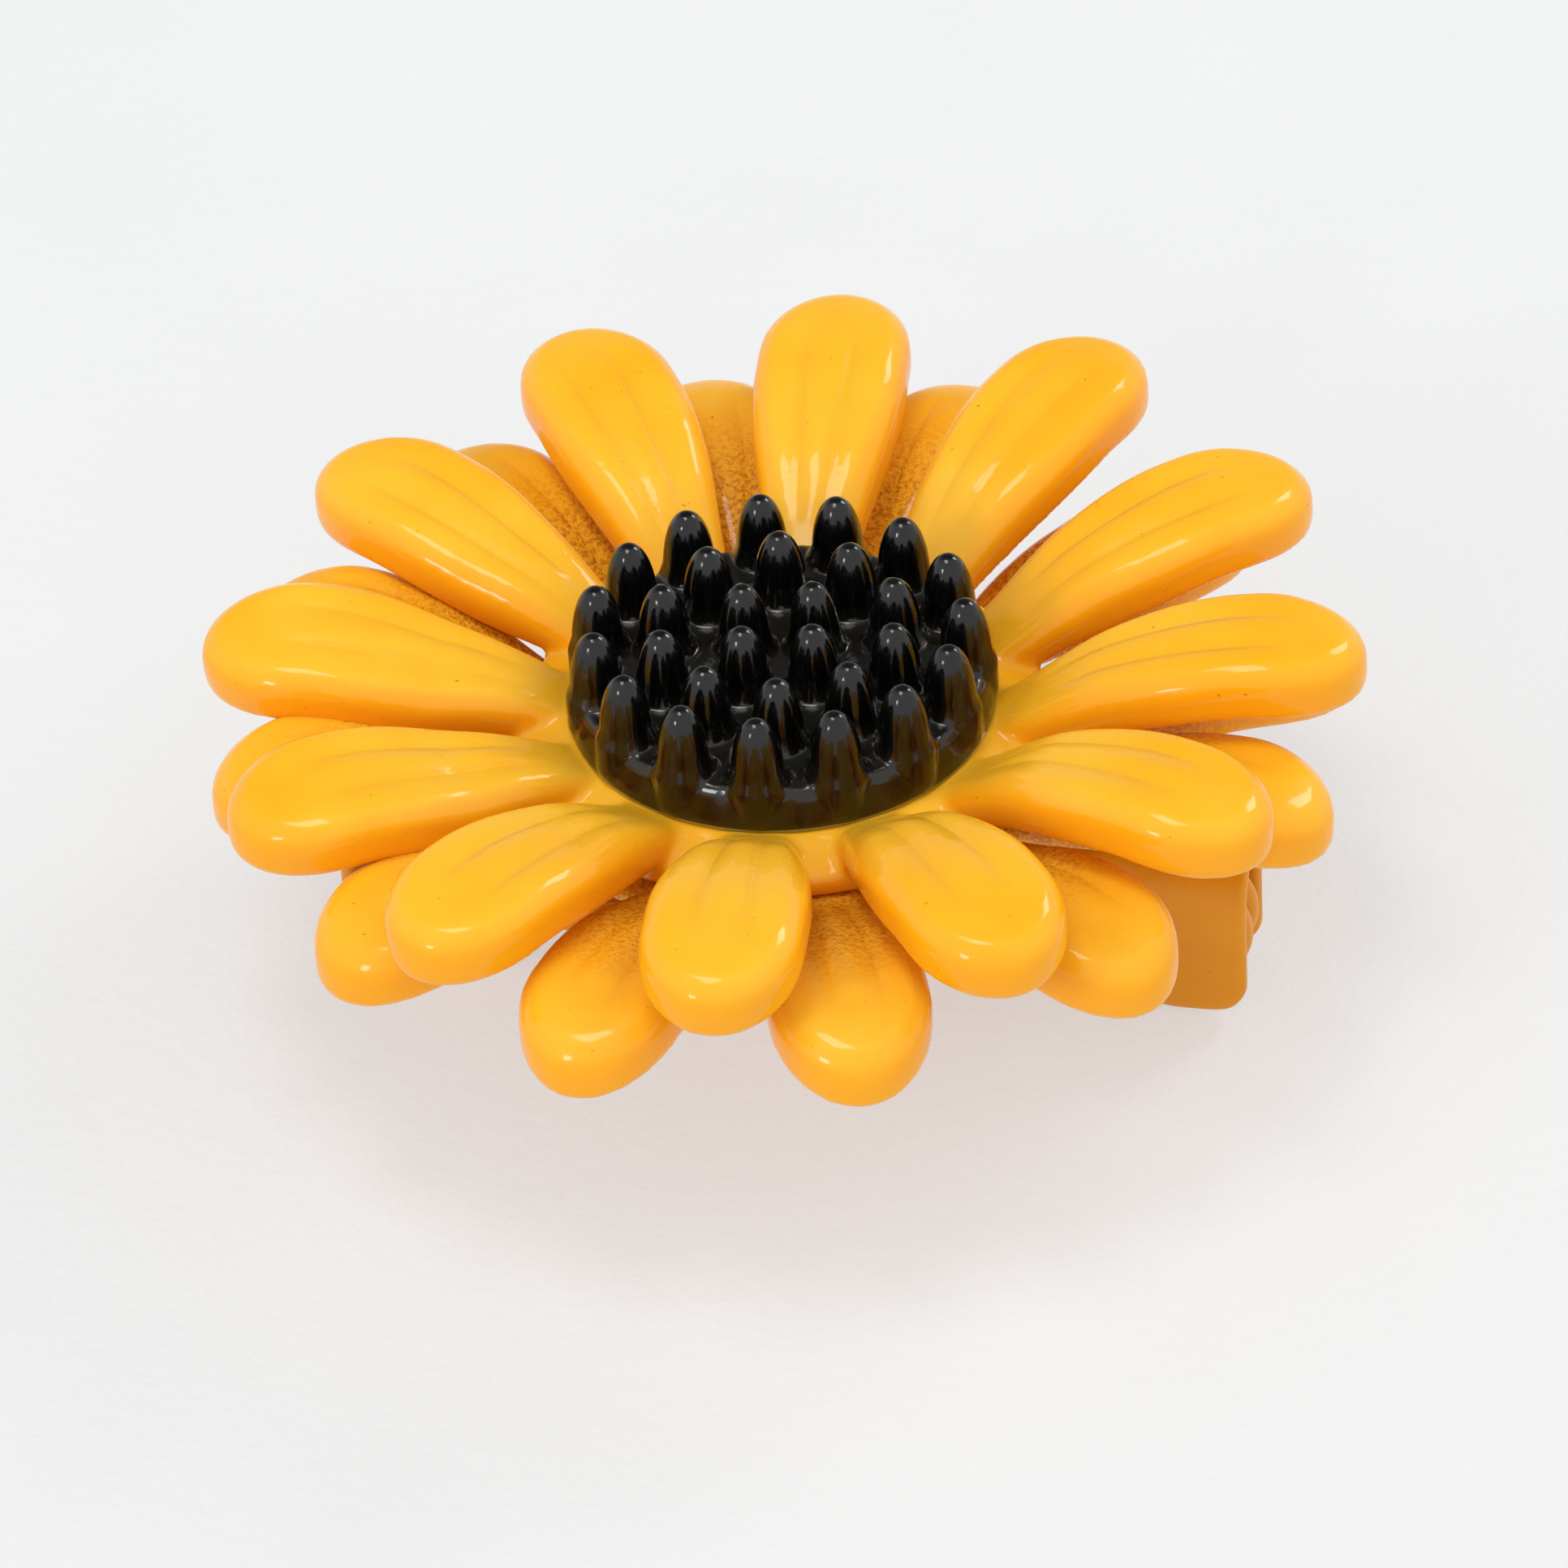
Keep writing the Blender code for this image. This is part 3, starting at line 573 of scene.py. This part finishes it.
def casting(name, layer, material, rng):
    """One layer of petals on its hub, fused and smoothed so that every joint has a soft fillet."""
    half_outline = petal_outline(layer["reach"])
    outline = [(r, -w, s) for r, w, s in half_outline] + [(r, w, s) for r, w, s in half_outline[-2::-1]]
    shells = [hub_shell(layer)]
    for k in range(PETALS):
        more_yaw, more_lift, more_roll = layer["nudges"].get(k, (0.0, 0.0, 0.0))
        angle = radians(layer["turn"] + 360.0 * k / PETALS)
        yaw = radians(rng.uniform(-0.9, 0.9) + more_yaw)
        roll = radians(rng.uniform(-2.5, 2.5) + more_roll)
        lift = rng.uniform(-0.14, 0.1) + more_lift
        shells.append(petal_shell(layer, outline, angle, yaw, roll, lift))
    return fused(name, shells, material, CASTING_VOXEL, 3)


def fused(name, shells, material, voxel, softening):
    """Overlapping closed shells as one smooth skin.

    Blender's smallest voxel is 0.1 mm in metres, so this is done at 1000 times the size.
    """
    bm = bmesh.new()
    for points, faces in shells:
        verts = [bm.verts.new(p) for p in points]
        for face in faces:
            bm.faces.new([verts[i] for i in face])
        bmesh.ops.remove_doubles(bm, verts=verts, dist=1e-4)
    bmesh.ops.dissolve_degenerate(bm, edges=bm.edges, dist=1e-4)
    bmesh.ops.recalc_face_normals(bm, faces=bm.faces)
    obj = piece_from_bm(name, bm, material)
    remesh = obj.modifiers.new("fuse", "REMESH")
    remesh.mode = "VOXEL"
    remesh.voxel_size = voxel
    soften = obj.modifiers.new("soften", "SMOOTH")
    soften.factor = 0.5
    soften.iterations = softening
    settle(obj)
    obj.data.transform(Matrix.Scale(MM, 4))
    return obj


# ---- Black centre -------------------------------------------------------------------------------

NUB_RINGS = ((15, 6.35, 106.0), (10, 4.15, 100.0), (4, 1.7, 55.0))    # count, radius, first angle
NUB_RADIUS = 0.93
NUB_HEIGHT = 2.4             # rounded part of a nub
CENTRE_VOXEL = 0.097         # millimetres


def nub_profile(low, floor, high):
    """Half an ellipsoid on a foot that flares into the floor between the nubs."""
    foot = NUB_RADIUS + 0.16
    profile = [(foot, low), (foot, floor - 0.05), (NUB_RADIUS + 0.04, floor + 0.3)]
    steps = 10
    for k in range(1, steps):
        a = pi / 2 * k / steps
        profile.append((NUB_RADIUS * cos(a) ** 0.85, high - NUB_HEIGHT * (1 - sin(a))))
    return profile + [(0.0, high)]


def black_centre(material):
    """Disc, fluted wall and nubs."""
    low = CENTRE_LOW.z - 0.1
    high = CENTRE_HIGH.z + 0.03
    radius = CENTRE_HIGH.x
    floor = high - NUB_HEIGHT - 0.1
    shells = [turned([(0.0, low), (radius - 0.05, low), (radius, low + 0.12), (radius - 0.05, low + 0.6),
                      (radius - 0.22, floor - 0.35), (radius - 0.42, floor - 0.05), (radius - 0.8, floor),
                      (0.0, floor - 0.1)], 96)]
    for count, ring, first in NUB_RINGS:
        for k in range(count):
            a = radians(first + 360.0 * k / count)
            shells.append(turned(nub_profile(low + 0.3, floor, high), 24, (ring * cos(a), ring * sin(a))))
    return fused("black_centre", shells, material, CENTRE_VOXEL, 5)


# ---- Disc and rivets ----------------------------------------------------------------------------

PAD_RADIUS = 2.0
RIVET_HEAD = 1.25


def back_disc(material):
    """The round collar, with the two pads that stand on the clip."""
    radius = DISC_HIGH.x
    low = DISC_LOW.z + 0.3
    high = DISC_HIGH.z
    edge = 0.28
    profile = [(0.0, low)] + arc((radius - edge, low + edge), edge, -90, 0, 5)
    profile += arc((radius - edge, high - edge), edge, 0, 90, 5) + [(0.0, high)]
    points, faces = turned(profile, 96)
    disc = make_piece("collar_disc", points, faces, material)
    for name, node in (("pad_hinge", "clip_rivet_hinge_side"), ("pad_catch", "clip_rivet_catch_side")):
        low_corner, high_corner = box_mm(node)
        x = (low_corner.x + high_corner.x) / 2
        pad_low = DISC_LOW.z - 0.1
        profile = [(0.0, pad_low)] + arc((PAD_RADIUS - 0.15, pad_low + 0.15), 0.15, -90, 0, 4)
        profile += [(PAD_RADIUS, low + 0.2), (0.0, low + 0.2)]
        points, faces = turned(profile, 48, (x, 0))
        guide = make_piece(name, points, faces, material)
        union = disc.modifiers.new(name, "BOOLEAN")
        union.operation = "UNION"
        union.object = guide
        settle(disc)
        bpy.data.objects.remove(guide, do_unlink=True)
    disc.data.set_sharp_from_angle(angle=radians(35))
    return disc


def rivet(name, node, material):
    """Domed head under the plate, with the end of its shank hidden in the disc."""
    low, high = box_mm(node)
    x = (low.x + high.x) / 2
    under = 0.02
    bottom = low.z
    dome = under - bottom
    profile = [(0.0, bottom)]
    for step in range(1, 9):
        a = radians(90 * step / 8)
        profile.append((RIVET_HEAD * sin(a) ** 0.8, under - dome * cos(a)))
    profile += [(0.7, under), (0.7, high.z), (0.0, high.z)]
    points, faces = turned(profile, 40, (x, 0))
    return make_piece(name, points, faces, material, smooth_angle=40)


# ---- Clip sheet ---------------------------------------------------------------------------------

EAR_START = 12.5
EAR_FADE = 9.4
EAR_HALF = 1.85
EAR_BEND = 1.5
HINGE_DROP = 0.5
DROP_START = 11.5
SLOPE_START = -9.0
SLOPE_END = -14.4
SLOPE_DROP = 1.35
LEG_BEND = 0.9
FIN_FROM = -2.8
FIN_TO = -9.3
FIN_PEAK = -4.7
FIN_DEPTH = 3.2
EDGE_BEND = 0.45
LOBE_FROM = -14.7
LOBE_TO = -8.9
LOBE_TOP = -1.75
LOBE_ROOT = 0.45
LOBE_ROWS = 4                # places on the leg that a lobe grows from


def plate_height(x):
    drop = HINGE_DROP * ease((x - DROP_START) / (HINGE_END - DROP_START))
    drop += SLOPE_DROP * ease((SLOPE_START - x) / (SLOPE_START - SLOPE_END) * 0.75) / ease(0.75)
    return SHEET / 2 - drop


def between(first, last, steps):
    return [first + (last - first) * k / steps for k in range(steps)]


def plate_stations():
    """Places along the middle of the sheet, from the hinge end round to the foot of the leg."""
    stops = (HINGE_END, EAR_START, EAR_FADE, FIN_FROM, FIN_PEAK, FIN_TO, SLOPE_END)
    xs = []
    for first, last, steps in zip(stops, stops[1:], (8, 7, 10, 7, 10, 6)):
        xs += between(first, last, steps)
    rows = [(x, plate_height(x)) for x in xs]
    last_z = plate_height(SLOPE_END)
    for step in range(6):
        a = radians(90 * step / 5)
        rows.append((LEG_X + LEG_BEND * (1 - sin(a)), last_z - LEG_BEND * (1 - cos(a))))
    top = rows[-1][1]
    for share in (0.2, 0.4, 0.6, 0.83, 0.89, 0.95, 1.0):
        rows.append((LEG_X, top + share * (CLIP_LOW.z - top)))
    return rows


def ear_depth(x):
    full = plate_height(x) - EAR_BEND - EAR_BOTTOM
    middle = (EAR_START + HINGE_END) / 2
    half = (HINGE_END - EAR_START) / 2
    if x >= EAR_START:
        t = min(abs(x - middle) / half, 1.0)
        return full - 0.9 * (1 - sqrt(1 - t ** 4))
    t = (x - EAR_FADE) / (EAR_START - EAR_FADE)
    return (full - 0.9) * max(t, 0) ** 3


def ear_section(x, share):
    fold = ease((x - EAR_FADE) / (EAR_START - EAR_FADE))
    flat = PLATE_HALF + (EAR_HALF - EAR_BEND - PLATE_HALF) * fold
    bend = max(EAR_BEND * fold, 1e-3)
    angle = pi / 2 * fold
    walk = share * (bend * angle + ear_depth(x))
    if walk <= bend * angle:
        a = walk / bend
        return flat + bend * sin(a), -bend * (1 - cos(a))
    rest = walk - bend * angle
    return flat + bend * sin(angle) + rest * cos(angle), -bend * (1 - cos(angle)) - rest * sin(angle)


def fin_depth(x):
    if not FIN_TO < x < FIN_FROM:
        return 0.0
    if x > FIN_PEAK:
        t = (FIN_FROM - x) / (FIN_FROM - FIN_PEAK)
        return FIN_DEPTH * (1 - (1 - t) ** 2.4) ** 0.46
    t = (x - FIN_TO) / (FIN_PEAK - FIN_TO)
    return FIN_DEPTH * sin(pi / 2 * t) ** 1.15


def fin_roll(x):
    return min(fin_depth(x) / (EDGE_BEND * pi / 2), 1.0)


def edge_fold(walk):
    quarter = EDGE_BEND * pi / 2
    if walk < quarter:
        a = walk / EDGE_BEND
        return EDGE_BEND * sin(a), EDGE_BEND * (1 - cos(a))
    return EDGE_BEND, EDGE_BEND + walk - quarter


EAR_BOTTOM = CLIP_LOW.z + 0.2


def lobe_top(x):
    t = (x - LOBE_FROM) / (LOBE_TO - LOBE_FROM)
    peak = 0.68
    if t < peak:
        rise = sin(pi / 2 * max(t, 0) / peak) ** 0.7
    else:
        rise = sqrt(max(1 - ((t - peak) / (1 - peak)) ** 2 * 0.75, 0))
    root = CLIP_LOW.z + LOBE_ROOT
    return root + (LOBE_TOP - root) * rise


def clip_sheet(material):
    stations = plate_stations()
    shares = (-1.0, -0.66, -0.33, 0.0, 0.33, 0.66, 1.0)
    points = []
    rows = []
    for x, z in stations:
        fold = ease((x - EAR_FADE) / (EAR_START - EAR_FADE))
        half = PLATE_HALF + (EAR_HALF - EAR_BEND - PLATE_HALF) * fold - EDGE_BEND * fin_roll(x)
        row = []
        for share in shares:
            row.append(len(points))
            points.append((x, share * half, z))
        rows.append(row)
    faces = grid_faces(rows)
    for side, column in ((-1, 0), (1, len(shares) - 1)):
        edge = [row[column] for row in rows]
        add_ear(points, faces, stations, edge, side)
        add_fin(points, faces, stations, edge, side)
        add_lobe(points, faces, stations, edge, side)
    sheet = make_piece("clip_sheet", points, faces, material)
    solid = sheet.modifiers.new("sheet", "SOLIDIFY")
    solid.thickness = SHEET * MM
    solid.offset = 0.0
    fine = sheet.modifiers.new("rounded_paint", "SUBSURF")
    fine.levels = 2
    fine.render_levels = 2
    return sheet


def add_ear(points, faces, stations, edge, side):
    steps = 12
    columns = []
    for (x, z), start in zip(stations, edge):
        if x < EAR_FADE - 1e-6:
            break
        column = [start]
        for step in range(1, steps + 1):
            y, dz = ear_section(x, step / steps)
            column.append(len(points))
            points.append((x, side * y, z + dz))
        columns.append(column)
    faces.extend(grid_faces(columns))


def add_fin(points, faces, stations, edge, side):
    steps = 7
    columns = []
    for (x, z), start in zip(stations, edge):
        if not FIN_TO - 1e-6 <= x <= FIN_FROM + 1e-6:
            continue
        column = [start]
        for step in range(1, steps + 1):
            out, down = edge_fold(fin_depth(x) * step / steps)
            column.append(len(points))
            points.append((x, side * (PLATE_HALF - EDGE_BEND * fin_roll(x) + out), z - down))
        columns.append(column)
    faces.extend(grid_faces(columns))


def add_lobe(points, faces, stations, edge, side):
    first = len(stations) - LOBE_ROWS
    base = [z for x, z in stations[first:]]
    low = base[-1]
    columns = [edge[first:]]
    for t in (0.06, 0.14, 0.24, 0.36, 0.48, 0.6, 0.72, 0.82, 0.9, 0.96, 1.0):
        x = LOBE_FROM + t * (LOBE_TO - LOBE_FROM)
        top = lobe_top(x)
        floor = low + 0.6 * max(t - 0.75, 0) / 0.25
        column = []
        for start in base:
            share = (start - low) / (base[0] - low)
            column.append(len(points))
            points.append((x, side * PLATE_HALF, floor + share * (top - floor)))
        columns.append(column)
    faces.extend(grid_faces(columns))


# ---- Hinge pin ----------------------------------------------------------------------------------

def hinge_pin(material):
    """A pin that is hidden between the ears: its ends stop inside their sheet."""
    radius = (PIN_HIGH.x - PIN_LOW.x) / 2
    end = PIN_HIGH.y - SHEET / 2
    edge = 0.1
    profile = [(0.0, -end)] + arc((radius - edge, edge - end), edge, -90, 0, 4)
    profile += arc((radius - edge, end - edge), edge, 0, 90, 4) + [(0.0, end)]
    points, faces = turned(profile, 40)
    points = [(PIN_X + x, z, PIN_Z - y) for x, y, z in points]
    return make_piece("pin", points, faces, material, smooth_angle=40)


# ---- Wire arm -----------------------------------------------------------------------------------

WIRE_RADIUS = 0.55
WIRE_TIP = ((0.3, 0.0), (0.44, 0.03), (WIRE_RADIUS, 0.15))     # radius and inset of its rounded end
WIRE_Y = WIRE_HIGH.y - WIRE_RADIUS
WRAP_RADIUS = WIRE_HIGH.x - PIN_X - WIRE_RADIUS
ARM_Z = PIN_Z - WRAP_RADIUS
ARM_END = WIRE_LOW.x + WIRE_RADIUS + WIRE_Y
TAIL_END = (10.9, -1.0)
CAP_END = WIRE_LOW.x - 0.12  # the cap covers the wire's bend


def wire_path():
    """Centre line of the hairpin: tail, wrap round the pin, strand, turn at the free end, and back."""
    dx = TAIL_END[0] - PIN_X
    dz = TAIL_END[1] - PIN_Z
    start = atan2(dz, dx) - acos(WRAP_RADIUS / hypot(dx, dz))
    leave = (PIN_X + WRAP_RADIUS * cos(start), PIN_Z + WRAP_RADIUS * sin(start))
    side = []
    for t in (0.0, 0.25, 0.5, 0.75):
        x, z = (a + t * (b - a) for a, b in zip(TAIL_END, leave))
        side.append((x, WIRE_Y, z))
    turns = 36
    for k in range(turns + 1):
        a = start + (-pi / 2 - start) * k / turns
        side.append((PIN_X + WRAP_RADIUS * cos(a), WIRE_Y, PIN_Z + WRAP_RADIUS * sin(a)))
    strand = 24
    for k in range(1, strand + 1):
        side.append((PIN_X + (ARM_END - PIN_X) * k / strand, WIRE_Y, ARM_Z))
    turn = []
    for k in range(1, 12):
        a = pi * k / 12
        turn.append((ARM_END - WIRE_Y * sin(a), WIRE_Y * cos(a), ARM_Z))
    back = [(x, -y, z) for x, y, z in reversed(side)]
    return [Vector(p) for p in side + turn + back]


def wire_arm(material):
    path = wire_path()
    sides = 20
    points = []
    rings = []
    for i, at in enumerate(path):
        along = (path[min(i + 1, len(path) - 1)] - path[max(i - 1, 0)]).normalized()
        across = Vector((-along.y, along.x, 0))
        if across.length < 0.5 or abs(along.z) > 1e-6:
            across = Vector((0, -1 if at.y > 0 else 1, 0))
        across.normalize()
        up = along.cross(across)
        slices = [(WIRE_RADIUS, 0.0)]
        if i == 0:
            slices = WIRE_TIP
        elif i == len(path) - 1:
            slices = [(radius, -inset) for radius, inset in reversed(WIRE_TIP)]
        for radius, inset in slices:
            shift = along * inset
            ring = []
            for k in range(sides):
                a = 2 * pi * k / sides
                ring.append(len(points))
                points.append(tuple(at + shift + (across * cos(a) + up * sin(a)) * radius))
            ring.append(ring[0])
            rings.append(ring)
    faces = grid_faces(rings)
    faces.append(tuple(rings[0][:-1]))
    faces.append(tuple(rings[-1][:-1]))
    return make_piece("wire_arm", points, faces, material)


def rounded_loop(half_y, half_z, edge, steps=5):
    """A rounded rectangle in the YZ plane, as (y, z) points."""
    loop = []
    for sy, sz, start in ((1, 1, 0), (-1, 1, 90), (-1, -1, 180), (1, -1, 270)):
        centre = (sy * (half_y - edge), sz * (half_z - edge))
        loop += arc(centre, edge, start, start + 90, steps)
    return loop


def arm_head(material):
    """A stamped cap over the wire's free end: rounded outside, open towards the hinge."""
    half_y = HEAD_HIGH.y
    half_z = (HEAD_HIGH.z - HEAD_LOW.z) / 2
    middle = (HEAD_HIGH.z + HEAD_LOW.z) / 2
    wall = 0.35
    soft = 0.35
    steps = []
    for k in range(6):
        a = pi / 2 * k / 5
        steps.append((CAP_END + soft * (1 - sin(a)), soft * (1 - cos(a))))
    steps = steps[::-1]
    lip = HEAD_HIGH.x - 0.12
    steps += [(lip, 0.0), (HEAD_HIGH.x - 0.03, 0.05), (HEAD_HIGH.x, 0.16), (HEAD_HIGH.x - 0.06, 0.3)]
    steps += [(lip, wall), (CAP_END + wall, wall)]
    points = []
    rings = []
    for x, inset in steps:
        edge = max(0.5 - inset, 0.12)
        ring = []
        for y, z in rounded_loop(half_y - inset, half_z - inset, edge):
            ring.append(len(points))
            points.append((x, y, middle + z))
        ring.append(ring[0])
        rings.append(ring)
    faces = grid_faces(rings)
    faces.append(tuple(rings[0][:-1]))
    faces.append(tuple(rings[-1][:-1]))
    return make_piece("arm_cap", points, faces, material, smooth_angle=50)


# ---- Stage --------------------------------------------------------------------------------------

FLOOR_HALF = 4.0             # metres
DARK_GAP = (-0.16, 0.70, 0.69)
SEEN_WORLD = 0.83            # brightness of the world where the camera looks straight at it


def area_light(name, place, target, size, power, colour):
    data = bpy.data.lights.new(name, "AREA")
    data.shape = "RECTANGLE"
    data.size = size[0]
    data.size_y = size[1]
    data.energy = power
    data.color = colour
    light = bpy.data.objects.new(name, data)
    bpy.context.scene.collection.objects.link(light)
    light.location = place
    light.rotation_euler = (Vector(target) - Vector(place)).to_track_quat("-Z", "Y").to_euler()


def build_stage():
    corners = [(x * FLOOR_HALF, y * FLOOR_HALF, 0) for x, y in ((-1, -1), (1, -1), (1, 1), (-1, 1))]
    mesh = bpy.data.meshes.new("floor")
    mesh.from_pydata(corners, [], [(0, 1, 2, 3)])
    mesh.materials.append(floor_material())
    floor = bpy.data.objects.new("floor", mesh)
    bpy.context.scene.collection.objects.link(floor)
    floor.location.z = FLOOR_Z * MM
    lower_floor_for_open_arm(floor)
    build_world()
    aim = (0, 0, 0.003)
    area_light("overhead", (-0.054, -0.040, 0.40), aim, (0.16, 0.12), 0.42, (1.0, 0.985, 0.96))
    area_light("front_left", (-0.155, -0.271, 0.17), aim, (0.06, 0.06), 0.16, (1.0, 1.0, 1.0))
    area_light("back_right", (0.182, 0.235, 0.22), aim, (0.10, 0.10), 0.26, (1.0, 0.99, 0.97))


def lower_floor_for_open_arm(floor):
    """The floor stays under the clip's feet, and gives way when the open arm reaches below them."""
    tip = bpy.data.objects.new("arm_tip_mark", None)
    bpy.context.scene.collection.objects.link(tip)
    tip.location = Vector((CAP_END, 0, HEAD_LOW.z)) * MM
    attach(tip, "arm")
    follow = floor.constraints.new("COPY_LOCATION")
    follow.target = tip
    follow.use_x = False
    follow.use_y = False
    limit = floor.constraints.new("LIMIT_LOCATION")
    limit.use_max_z = True
    limit.max_z = FLOOR_Z * MM


def build_world():
    """A white studio with a darker gap behind the object, which keeps reflections off flat tops."""
    world = bpy.data.worlds.new("studio")
    bpy.context.scene.world = world
    world.use_nodes = True
    nodes = world.node_tree.nodes
    links = world.node_tree.links
    coords = add_node(nodes, "ShaderNodeTexCoord")
    towards = add_node(nodes, "ShaderNodeVectorMath", operation="DOT_PRODUCT")
    towards.inputs[1].default_value = Vector(DARK_GAP).normalized()
    links.new(coords.outputs["Generated"], towards.inputs[0])
    strength = span(nodes, links, towards.outputs["Value"], 0.55, 0.95, 1.0, 0.15)
    path = add_node(nodes, "ShaderNodeLightPath")
    seen = calc(nodes, links, "MULTIPLY", calc(nodes, links, "SUBTRACT", SEEN_WORLD, strength),
                path.outputs["Is Camera Ray"])
    links.new(calc(nodes, links, "ADD", strength, seen), nodes["Background"].inputs["Strength"])
    nodes["Background"].inputs["Color"].default_value = (1.0, 1.0, 1.0, 1.0)


def build_camera():
    """The flower sits 3 degrees off level in this view: its hinge side is the higher one."""
    azimuth = radians(12.6)
    elevation = radians(38)
    roll = radians(3.3)
    distance = 0.30
    target = Vector((-0.0001, 0.0, 0.0010))
    data = bpy.data.cameras.new("camera")
    data.lens = 200
    data.sensor_width = 36
    data.clip_start = 0.01
    data.clip_end = 10
    camera = bpy.data.objects.new("camera", data)
    away = Vector((sin(azimuth) * cos(elevation), -cos(azimuth) * cos(elevation), sin(elevation)))
    camera.location = target + away * distance
    aim = (target - camera.location).to_track_quat("-Z", "Y")
    camera.rotation_euler = (aim @ Quaternion((0, 0, 1), -roll)).to_euler()
    bpy.context.scene.collection.objects.link(camera)
    bpy.context.scene.camera = camera
    bpy.context.scene.view_settings.view_transform = "Standard"


def add_to_clip(obj, node):
    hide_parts(node)
    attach(obj, "clip")


def main():
    petal = petal_enamel("petal_enamel", UPPER_LAYER["turn"], 0.0)
    gritty_petal = petal_enamel("gritty_petal_enamel", LOWER_LAYER["turn"], 0.9)
    plain_petal = petal_enamel("plain_petal_enamel", None, 0.0)
    black = black_enamel()
    clip = clip_enamel()
    rng = random.Random(SEED)
    for name, node, layer, low, material in (
            ("upper_petal_casting", "upper_petals", UPPER_LAYER, UPPER_LOW.z, petal),
            ("lower_petal_casting", "lower_petals", LOWER_LAYER, LOWER_LOW.z, gritty_petal)):
        placed = dict(layer, low=low, reach=reach_mm(node))
        add_to_clip(casting(name, placed, material, rng), node)
    add_to_clip(black_centre(black), "flower_centre")
    add_to_clip(back_disc(plain_petal), "back_disc")
    for name in ("rivet_hinge_side", "rivet_catch_side"):
        node = "clip_" + name
        add_to_clip(rivet(name, node, clip), node)
    add_to_clip(clip_sheet(clip), "clip_body")
    add_to_clip(hinge_pin(clip), "hinge_pin")
    build_arm(clip)
    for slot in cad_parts["flower_rivet"].material_slots:
        slot.material = rivet_metal()
    build_stage()
    build_camera()


def build_arm(clip):
    """The new wire is drawn wrapped over the pin and is attached to no body; the cap turns with the arm."""
    wire = wire_arm(clip)
    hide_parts("arm_wire")
    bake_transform(wire)
    head = arm_head(clip)
    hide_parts("arm_head")
    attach(head, "arm")


main()
